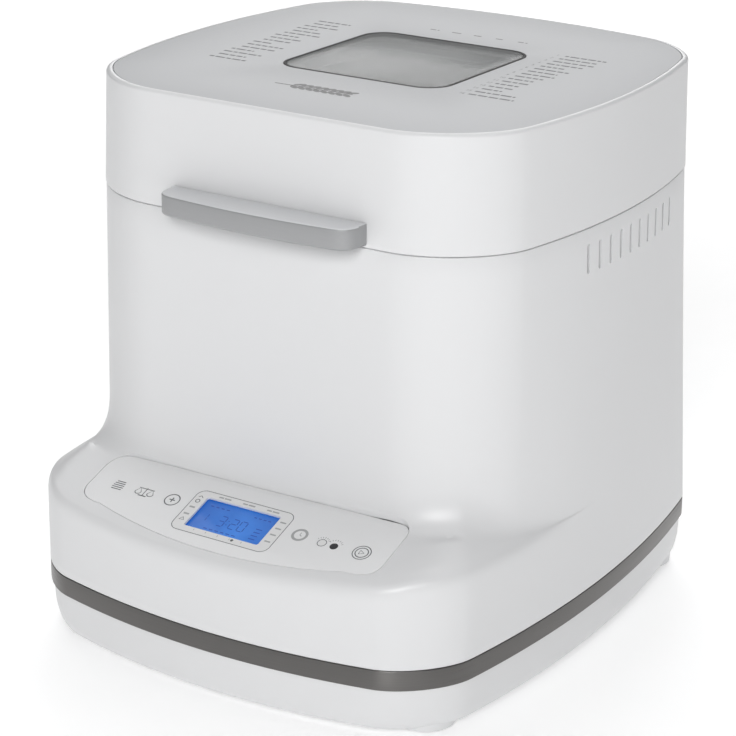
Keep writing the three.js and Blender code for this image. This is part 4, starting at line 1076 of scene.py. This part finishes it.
grey_marks, pale_marks = panel_marks()
show(grey_marks, "body", "grey_plastic", PRINT_GREY)
show(pale_marks, "body", "grey_plastic", PRINT_PALE)
dark_dot = Print()
dark_dot.dot(63.0, EYE_LINE - 1.4, 2.3)
show(dark_dot.build("crust_dark_mark", DECK_MATRIX, 0.04), "body", "black_plastic", PRINT_BLACK)
pale_field = Print()  # the pale dot in the crust mark, and the field round the display
pale_field.dot(55.5, EYE_LINE - 1.2, 2.2)
field, rim = rounded_rectangle(30.6, 15.6, 4.8), rounded_rectangle(*LCD_HALF, 1.2)
for i in range(len(field)):
    pale_field.patch([field[i - 1], field[i], rim[i], rim[i - 1]])
show(pale_field.build("panel_pale_field", DECK_MATRIX, 0.012), "body", "white_plastic", PRINT_WHITE)


# ---------- baking chamber ----------
SQUARE_ANGLES = np.linspace(0, 2 * math.pi, 360, endpoint=False)


def square_rings(curve, radius):
    """Rings of a closed [half width, height] profile, on squares whose corner radius follows their size."""
    rings = []
    for half, height in curve:
        corner = radius(half) if callable(radius) else radius
        rings.append((square_reach(half, min(corner, half * 0.98), SQUARE_ANGLES), height))
    return polar_rings(rings, SQUARE_ANGLES)


def chamber():
    floor_z, flange = low("chamber", 2), high("chamber", 2)
    bore, wall = 16, CHAMBER_HALF
    profile = [
        (bore, floor_z), (wall + 1, floor_z), (wall + 1, flange - 1), (88, flange - 1), (88, flange), (wall, flange),
        (wall, floor_z + 1), (bore, floor_z + 1),
    ]
    curve = round_profile(profile, [0, 7, 0.8, 0.3, 0.3, 1.6, 6, 0], 8)

    def corner(half):
        return bore + (half - bore) * (25 - bore) / (wall - bore) if half < wall else 25 + (half - wall) * 0.6

    body = skin("chamber_liner", square_rings(curve, corner))
    holes = [along_y(turned("sensor_hole", [(0, 0), (4.4, 0), (4.4, 20), (0, 20)], sides=40), 34, -39, 122)]
    for y in TERMINALS:
        hole = [(0.01, -9), (4.6, -9), (4.6, 9), (0.01, 9)]
        holes.append(lying_tube("terminal_hole", hole, 82, y, HEATER_Z, radii=0))
    carve(body, holes, smooth_angle=35)
    ribs = []
    for out in (-79.9, 79.9):
        for size, x, y in (((1.2, 92, 5), out, CENTRE_Y), ((92, 1.2, 5), 0, CENTRE_Y + out)):
            ribs += [rounded_box("rib", size, (x, y, z), 0.55) for z in (150, 190)]
    return join("chamber_liner", [body, *ribs])


show(chamber(), "body", "coated_sheet", ZINC, "chamber")


def heating_element():
    half, end, radius = 73, 96, 3.1
    near, far = CENTRE_Y - half, CENTRE_Y + half
    first, last = reversed(TERMINALS)
    plan = (
        (end, first), (half, first), (half, far), (-half, far),
        (-half, near), (half, near), (half, last), (end, last),
    )
    route = rounded_route([(x, y, HEATER_Z) for x, y in plan], [4.5, 22, 22, 22, 22, 4.5])
    pieces = [tube("heating_loop", route, radius, 20)]
    for y in TERMINALS:
        collar = [(radius, -1), (4.5, -1), (4.5, 4), (radius, 4)]
        pieces.append(lying_tube("collar", collar, 80.5, y, HEATER_Z, radii=0.4))
        pieces.append(lying_tube("tag", [(0.01, 0), (1.2, 0), (1.2, 5), (0.01, 5)], 91, y, HEATER_Z, radii=0.3))
    return join("heating_loop", pieces)


show(heating_element(), "body", "heater_steel", HEATER, "heating_element")

section = [(41.5, 0), (47, 0), (47, 1.5), (43.6, 1.5), (43.6, 9), (41.5, 9)]
radii = [0.2, 0.4, 0.5, 0.8, 0.5, 0.5]
seat = turned("pan_seat_ring", section, (0, CENTRE_Y), low("pan_seat", 2), 120, radii)
show(seat, "body", "coated_sheet", ZINC, "pan_seat")


# ---------- drive, seen from above once the pan is out ----------
def drive_coupling():
    disk = turned("disk", [(4.3, 70.8), (15, 70.8), (15, 73), (4.3, 73)], (0, CENTRE_Y), sides=72, radii=0.4)
    near, far = CENTRE_Y - 4, CENTRE_Y + 4
    lugs = [box_between("lug", (x - 2.5, near, 72), (x + 2.5, far, 79.6), 0.8) for x in (-11.5, 11.5)]
    return join("coupling_dogs", [disk, *lugs])


show(drive_coupling(), "drive", "die_cast", DIE_CAST, "drive_coupling")


# ---------- pan ----------
def bread_pan():
    floor_z, rim, sheet = 84.0, 204.0, 1.6
    bore, inside, round_inside = 9.4, PAN_HALF - sheet, 17.4
    profile = [
        (bore, floor_z), (PAN_HALF, floor_z), (PAN_HALF, rim - sheet), (67.5, rim - sheet),
        (67.5, rim), (inside, rim), (inside, floor_z + sheet), (bore, floor_z + sheet),
    ]
    curve = round_profile(profile, [0, 8, 0.5, 0.75, 0.75, 1.2, 9, 0], 9)

    def corner(half):
        if half < inside:
            return bore + (half - bore) * (round_inside - bore) / (inside - bore)
        return round_inside + (half - inside)

    body = skin("bread_pan_body", square_rings(curve, corner))
    pieces = [body]
    for side in (-1, 1):
        pivot = [(0.01, -1), (2, -1), (2, 7.8), (3.6, 7.8), (3.6, 9.5), (0.01, 9.5)]
        stud = turned("pivot", pivot, sides=40, radii=[0, 0, 0.3, 0.3, 0.8, 0])
        pieces.append(turn_to(stud, (side * PAN_HALF, CENTRE_Y, PIVOT_Z), "Y", side * math.pi / 2))
        pieces.append(rounded_box("ear", (1.0, 17, 15), (side * (PAN_HALF + 0.3), CENTRE_Y, PIVOT_Z - 0.5), 0.45))
    return join("bread_pan_body", pieces)


show(bread_pan(), "pan", "pan_coating", COATING, "bread_pan")
section = [(37, 0), (39.6, 0), (39.6, 8.2), (50, 8.2), (50, 9.7), (37, 9.7)]
radii = [0.6, 0.6, 1.2, 0.5, 0.5, 0.6]
skirt = turned("pan_foot_ring", section, (0, CENTRE_Y), low("pan_skirt", 2), 120, radii)
show(skirt, "pan", "aluminium", LINER_ALUMINIUM, "pan_skirt")


def pan_bail():
    half = 70.7
    near, far = CENTRE_Y - 4.5, CENTRE_Y - 71
    plan = ((-half, near), (-half, far), (half, far), (half, near))
    route = rounded_route([(x, y, PIVOT_Z) for x, y in plan], [13, 13])
    pieces = [tube("bail", route, 1.95, 24)]
    for x in (-half, half):
        eye = [(2.5, -1.45), (5.4, -1.45), (5.4, 1.45), (2.5, 1.45)]
        pieces.append(lying_tube("eye", eye, x, CENTRE_Y, PIVOT_Z, radii=0.6))
    return join("bail_wire", pieces)


show(pan_bail(), "bail", "steel", WIRE_STEEL, "pan_bail")


def kneading_paddle():
    section = [(4.3, 90.6), (9.5, 90.6), (8, 114.5), (4.3, 114.5)]
    hub = turned("hub", section, (0, CENTRE_Y), sides=72, radii=[0.3, 0.6, 1.2, 0.4])
    tip, crown = (49.7, 98), (30, 117.6)
    bends = (((46, 90.9), (51, 92), tip), (tip, (45, 114), crown), (crown, (14, 120), (6.5, 113)))
    outline = [np.array([6.5, 90.9]), *curve_through(bends, 12), np.array([6.5, 113.0])]
    drawn = []
    for i, point in enumerate(outline):
        onward = outline[(i + 1) % len(outline)]
        parts = max(1, int(np.linalg.norm(onward - point) / 3))
        drawn += [point + (onward - point) * k / parts for k in range(parts)]
    blade = prism("blade", drawn, -1.65, 1.65, 0.9)
    for vert in blade.data.vertices:
        x, z, thick = (c / MM for c in vert.co)
        vert.co = Vector((x, CENTRE_Y + thick + 0.0024 * x * x, z)) * MM
    tidy_normals(blade)
    return join("kneading_blade", [hub, blade])


show(kneading_paddle(), "paddle", "pan_coating", COATING, "kneading_paddle")


# ---------- lid ----------
def lid_directions():
    """The usual directions, with more where the hinge apron ends at its rounded corners."""
    points = bowed_outline(**LID_LOW, count=120)
    rear = points[(points[:, 1] > 100) & (points[:, 0] > 90)]
    order = np.argsort(rear[:, 0])
    places = [APRON_HALF + APRON_ROUND * (math.sin(t) - 1) for t in np.linspace(0, math.pi / 2, 8)[:-1]]
    angles = []
    for x in [*places, APRON_HALF - 0.05, APRON_HALF + 0.05]:
        y = np.interp(x, rear[order, 0], rear[order, 1])
        angles.append(math.atan2(y - CENTRE_Y, x))
    window = [math.radians(a) for sign in (-1, 1) for a in sign * np.arange(37, 54, 1.0)]
    return make_directions((LID_OUTLINE,), 18, tuple(sorted(angles + window)))


LID_ANGLES = lid_directions()


def lid_reach(by, z=LID_TOP):
    """The lid widens a little downwards, except at the rear."""
    share = 1 - min(max((z - LID_BOTTOM) / (LID_TOP - 4 - LID_BOTTOM), 0), 1)
    outline = dict(LID_OUTLINE, half_width=LID_HALF + SIDE_FLARE * share, front=LID_FRONT - FRONT_FLARE * share)
    return outline_reach(outline, by, LID_ANGLES)


def lid_bottom():
    """The height of the lid's lower edge in each direction: the apron hangs below it at the rear."""
    reach = lid_reach(0, LID_BOTTOM)
    x = np.abs(reach * np.cos(LID_ANGLES))
    rear = np.sin(LID_ANGLES) > 0.5
    drop = np.clip(x - APRON_HALF + APRON_ROUND, 0, APRON_ROUND)
    corner = APRON_BOTTOM + APRON_ROUND - np.sqrt(APRON_ROUND**2 - drop**2)
    return np.where(rear & (x < APRON_HALF), corner, LID_BOTTOM)


def lid_shell():
    edge = [(2 * (1 - math.cos(t)), LID_TOP - 2 * (1 - math.sin(t))) for t in np.linspace(0, math.pi / 2, 10)]
    bottom = lid_bottom()
    lip = np.where(bottom < LID_BOTTOM - 0.01, 0.0, 0.5)
    rings = [(lid_reach(by, LID_BOTTOM), bottom - lip) for by in (WALL, 1.0)]
    for by, up in ((0.95, 0.0), (0.35, 0.0), (0.1, 0.1), (0.0, 0.35)):
        rings.append((lid_reach(by, LID_BOTTOM), bottom + up))
    for t in (0.2, 0.4, 0.6, 0.8, 1.0):
        rings.append((lid_reach(0, LID_BOTTOM), (bottom + 0.35) * (1 - t) + 248 * t))
    for z in (258, 270, 282, 294, 303):
        rings.append((lid_reach(0.1 * (z - 250) / 54, z), z))
    rings += [(lid_reach(0.1 + margin * 0.93), z) for margin, z in edge]
    for margin, z in (
        (COVER_MARGIN - 0.2, LID_TOP), (COVER_MARGIN - 0.05, LID_TOP - 0.06), (COVER_MARGIN, LID_TOP - 0.25),
        (COVER_MARGIN, LID_TOP - 2),
    ):
        rings.append((lid_reach(margin), z))
    hole = square_reach(WINDOW_HALF + 3, WINDOW_ROUND + 2, LID_ANGLES)
    rings += [(hole, LID_TOP - 2), (hole, LID_CEILING), (lid_reach(WALL), LID_CEILING), (lid_reach(WALL), 250.0)]
    pieces = [skin("lid_moulding", polar_rings(rings, LID_ANGLES), True, 40)]
    for side in (-1, 1):
        for middle in (HINGE_X - 8.3, HINGE_X + 8.3):
            x = side * middle
            pieces.append(box_between("rib", (x - 2.9, HINGE_Y - 5, HINGE_Z), (x + 2.9, 161.8, 264), 0.5))
            pieces.append(lying_tube("eye", [(2.8, -2.9), (6, -2.9), (6, 2.9), (2.8, 2.9)], x, HINGE_Y, HINGE_Z))
    for x in (-84, 84):
        for y in (-84, 84):
            post = [(2.1, 248.4), (5, 248.4), (5, LID_CEILING + 0.1), (2.1, LID_CEILING + 0.1)]
            pieces.append(turned("post", post, (x, CENTRE_Y + y), sides=40, radii=0.3))
    return join("lid_moulding", pieces)


show(lid_shell(), "lid", "white_plastic", WHITE, "lid_shell")


def lid_cover():
    outer = COVER_MARGIN + GAP
    top, bottom = LID_TOP - 0.1, LID_TOP - 1.7
    rings = []
    for margin, z in ((outer, bottom), (outer, top - 0.35), (outer + 0.1, top - 0.1), (outer + 0.35, top)):
        rings.append((lid_reach(margin), z))
    for half, radius, z in (
        (WINDOW_HALF + 0.5, WINDOW_ROUND + 0.5, top),
        (WINDOW_HALF + 0.15, WINDOW_ROUND + 0.15, top - 0.15),
        (WINDOW_HALF, WINDOW_ROUND, top - 0.5),
        (WINDOW_HALF, WINDOW_ROUND, bottom),
    ):
        rings.append((square_reach(half, radius, LID_ANGLES), z))
    return skin("lid_cover_plate", polar_rings(rings, LID_ANGLES), True, 30)


show(lid_cover(), "lid", "grey_plastic", COVER_GREY, "lid_cover")

glass_bottom, glass_top = low("window_glass", 2), high("window_glass", 2)
inner_bottom, inner_top = low("inner_glass", 2), high("inner_glass", 2)


def square_sheet(name, half, radius, bottom, top, edge=0.3):
    return prism(name, rounded_square(half, radius, 16), bottom, top, edge)


pane = square_sheet("window_pane", WINDOW_HALF + 2.7, WINDOW_ROUND + 1.7, glass_bottom, glass_top)
show(pane, "lid", "glass", WINDOW, "window_glass")
inner_pane = square_sheet("inner_pane", WINDOW_HALF + 6, 12, inner_bottom, inner_top)
show(inner_pane, "lid", "glass", INNER_WINDOW, "inner_glass")


def square_band(name, outer, inner, bottom, top, outer_radius, inner_radius):
    edge = 0.15
    rings = [
        (outer, outer_radius, bottom), (outer, outer_radius, top - edge), (outer - edge, outer_radius, top),
        (inner + edge, inner_radius, top), (inner, inner_radius, top - edge), (inner, inner_radius, bottom),
    ]
    drawn = [(square_reach(half, radius, SQUARE_ANGLES), z) for half, radius, z in rings]
    return skin(name, polar_rings(drawn, SQUARE_ANGLES), True, 30)


border = square_band("window_border", WINDOW_HALF + 2, WINDOW_HALF - 7.5, inner_top + 0.4, inner_top + 1.4, 12, 9)
show(border, "lid", "grey_plastic", FRAME_GREY)
# A dark rubber ring that fills the gap between the window's edge and its glass.
dark_ring = square_band(
    "window_seal", WINDOW_HALF - 0.05, WINDOW_HALF - 1.6, LID_TOP - 1.95, LID_TOP - 0.05, WINDOW_ROUND,
    WINDOW_ROUND - 1.4,
)
show(dark_ring, "lid", "rubber", RUBBER)
lens = square_sheet("window_lens", WINDOW_HALF - 1.65, WINDOW_ROUND - 1.5, glass_top + 0.05, LID_TOP - 0.1, 0.6)
show(lens, "lid", "glass", WINDOW)


def lid_liner():
    well_top = inner_bottom - 0.3
    hole = WINDOW_HALF + 1
    profile = [
        (92, 247), (92, 248.1), (83, 248.1), (79, well_top), (hole, well_top), (hole, well_top - 1),
        (78, well_top - 1), (82, 247),
    ]
    curve = round_profile(profile, [0.2, 0.3, 1.5, 5, 0.2, 0.2, 4.5, 1.5], 7)

    def corner(half):
        if half > 83:
            return 25 + (10 - 25) * (half - 83) / 9
        return 11 + (25 - 11) * max(half - hole, 0) / (79 - hole) if half < 79 else 25

    return skin("lid_liner_pressing", square_rings(curve, corner))


show(lid_liner(), "lid", "aluminium", LINER_ALUMINIUM, "lid_liner")


def lid_gasket():
    low_z, high_z = low("lid_gasket", 2), high("lid_gasket", 2)
    inner, outer = 83.2, 87.6
    profile = [
        (outer, low_z + 0.5), (outer, high_z), (inner, high_z), (inner, low_z + 0.5), (84.6, low_z + 0.05),
        (86.2, low_z + 0.05),
    ]
    curve = round_profile(profile, [0.5, 0.2, 0.2, 0.5, 0.6, 0.6], 4)
    return skin("lid_seal", square_rings(curve, lambda half: 24 + (half - inner) * 0.7))


show(lid_gasket(), "lid", "silicone", SILICONE, "lid_gasket")


def handle_ledge(outline):
    """The ledge before it is hollowed: rounded along its front edges only, square against the lid."""
    low_z, high_z = low("lid_handle", 2), high("lid_handle", 2)
    edge = 1.3
    outline = np.asarray(outline, float)
    inward = shrink_outline(outline, 1.0) - outline
    free = np.clip((-outline[:, 1] - 106) / 2.5, 0, 1)[:, None]
    rings = []

    def ring(part, z):
        rings.append(np.column_stack([outline + inward * edge * (1 - part) * free, np.full(len(outline), z)]))

    turn = np.linspace(0, math.pi / 2, 6)
    for t in turn:
        ring(math.sin(t), low_z + edge * (1 - math.cos(t)))
    for t in turn:
        ring(math.cos(t), high_z - edge * (1 - math.sin(t)))
    return skin("handle_ledge", rings, False, 30)


def lid_handle():
    """A ledge with rounded ends, hollowed from below for the fingertips."""
    left, right = HANDLE_ENDS
    start, end = left + HANDLE_ROUND, right - HANDLE_ROUND
    middle = (left + right) / 2
    wall = bowed_outline(**inset(LID_LOW, -GAP), count=200)
    front = wall[(wall[:, 1] < -85) & (np.abs(wall[:, 0]) < 70)]
    front = front[np.argsort(front[:, 0])]
    bends = (
        ((left, -113), (left, -123.6), (start, -124)), ((start, -124), (middle, -129), (end, -124)),
        ((end, -124), (right, -123.6), (right, -113)),
    )
    outline = curve_through(bends, 18) + [np.array([right, -113])]
    for x in np.linspace(right, left, 50):
        outline.append(np.array([x, np.interp(x, front[:, 0], front[:, 1])]))
    ledge = handle_ledge(outline)
    bends = (
        ((start, -117), (start, -120), (start + 4, -120.4)), ((start + 4, -120.4), (middle, -125), (end - 4, -120.4)),
        ((end - 4, -120.4), (end, -120), (end, -117)),
    )
    recess = curve_through(bends, 12) + [np.array(corner) for corner in ((end, -117.0), (end, -90.0), (start, -90.0))]
    return carve(ledge, [prism("recess", recess, 240, 255.5)], smooth_angle=35)


handle = show(lid_handle(), "lid", "handle_aluminium", BRUSHED_ALUMINIUM, "lid_handle")
# Faces that look upwards take the lighter copy: painted light on the handle's top.
handle.data.materials.append(ALUMINIUM_PAINTED_LIGHT_TOP)
for face in handle.data.polygons:
    face.material_index = 1 if face.normal.z > 0.5 else 0


# ---------- what is printed on the cover ----------
def cover_print():
    chance = random.Random(5)
    height = 2.1
    marks = Print()
    lengths = [27, 24, 12, 15, 14, 17, 15, 17, 20, 18, 21, 16, 22, 25, 23, 27]
    for i, length in enumerate(lengths):
        y = -19.5 + 7.0 * i
        end = marks.number(str(len(lengths) - i), 63.5, y, 2.6, 0.34)
        marks.words(chance, max(end + 1.4, 69.0), y + 0.2, length, height)
    lengths = [24, 18, 25, 15, 22, 24, 12, 18, 21, 16, 24, 20, 14, 23, 17, 22]
    for i, length in enumerate(lengths):
        y = -25.5 + 7.2 * i
        marks.words(chance, -92.5 + 1.2 * math.sin(i * 1.9), y + 0.2, length, height)
    for i in range(5):
        marks.words(chance, -28.0 + 14.5 * i, 102.0, 6.0, 1.4)
    return marks.build("cover_print", COVER_MATRIX, 0.03)


def wheat_mark():
    """A plain ear of wheat, lying in front of the window."""
    mark = Print()
    mark.line([(-27.0, -55.8), (-12.0, -55.3), (8.0, -54.8), (21.0, -54.6)], 1.2)
    lean = math.radians(34)
    for i in range(8):
        x = -13.5 + 4.7 * i
        for side in (-1, 1):
            y = -55.0 + side * 3.0
            cosine, sine = math.cos(lean), side * math.sin(lean)
            grain = []
            for t in np.linspace(0, 2 * math.pi, 18, endpoint=False):
                along, across = 3.5 * math.cos(t), 1.7 * math.sin(t)
                grain.append((x + along * cosine - across * sine, y + along * sine + across * cosine))
            mark.patch(grain)
    return mark.build("wheat_mark", COVER_MATRIX, 0.04)


show(cover_print(), "lid", "grey_plastic", PRINT_GREY)
show(wheat_mark(), "lid", "black_plastic", PRINT_BLACK)


# ---------- CAD pieces that keep their shape ----------
FINISHES = {
    ZINC: ("thermal_fuse", "chassis_plate", "shaft_bearing", "motor_housing"),
    STEEL: (
        "temperature_sensor", "drive_shaft", "motor_shaft", "hinge_pin_left", "hinge_pin_right", "kneading_shaft",
    ),
    WIRE_STEEL: ("pan_clip_left", "pan_clip_right"),
    DIE_CAST: ("coupling_wing", "motor_pulley"),
    LINER_ALUMINIUM: ("pan_bush",),
    BLACK: ("cord_gland", "large_pulley", "motor_fan"),
    RUBBER: ("drive_belt",),
    BOARD: ("control_board", "power_board"),
    CAN: ("capacitor",),
}
for corner in CORNER_NAMES:
    FINISHES[STEEL] += (f"base_screw_{corner}", f"lid_screw_{corner}")
for finish, names in FINISHES.items():
    for node in names:
        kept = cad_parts[node]
        kept.data.materials.clear()
        kept.data.materials.append(finish)
        bevel = kept.modifiers.new("soft_edges", "BEVEL")
        bevel.width = 0.35 * MM
        bevel.segments = 2
        bevel.limit_method = "ANGLE"
        bevel.angle_limit = math.radians(40)
        kept.data.shade_smooth()
        kept.data.set_sharp_from_angle(angle=math.radians(40))
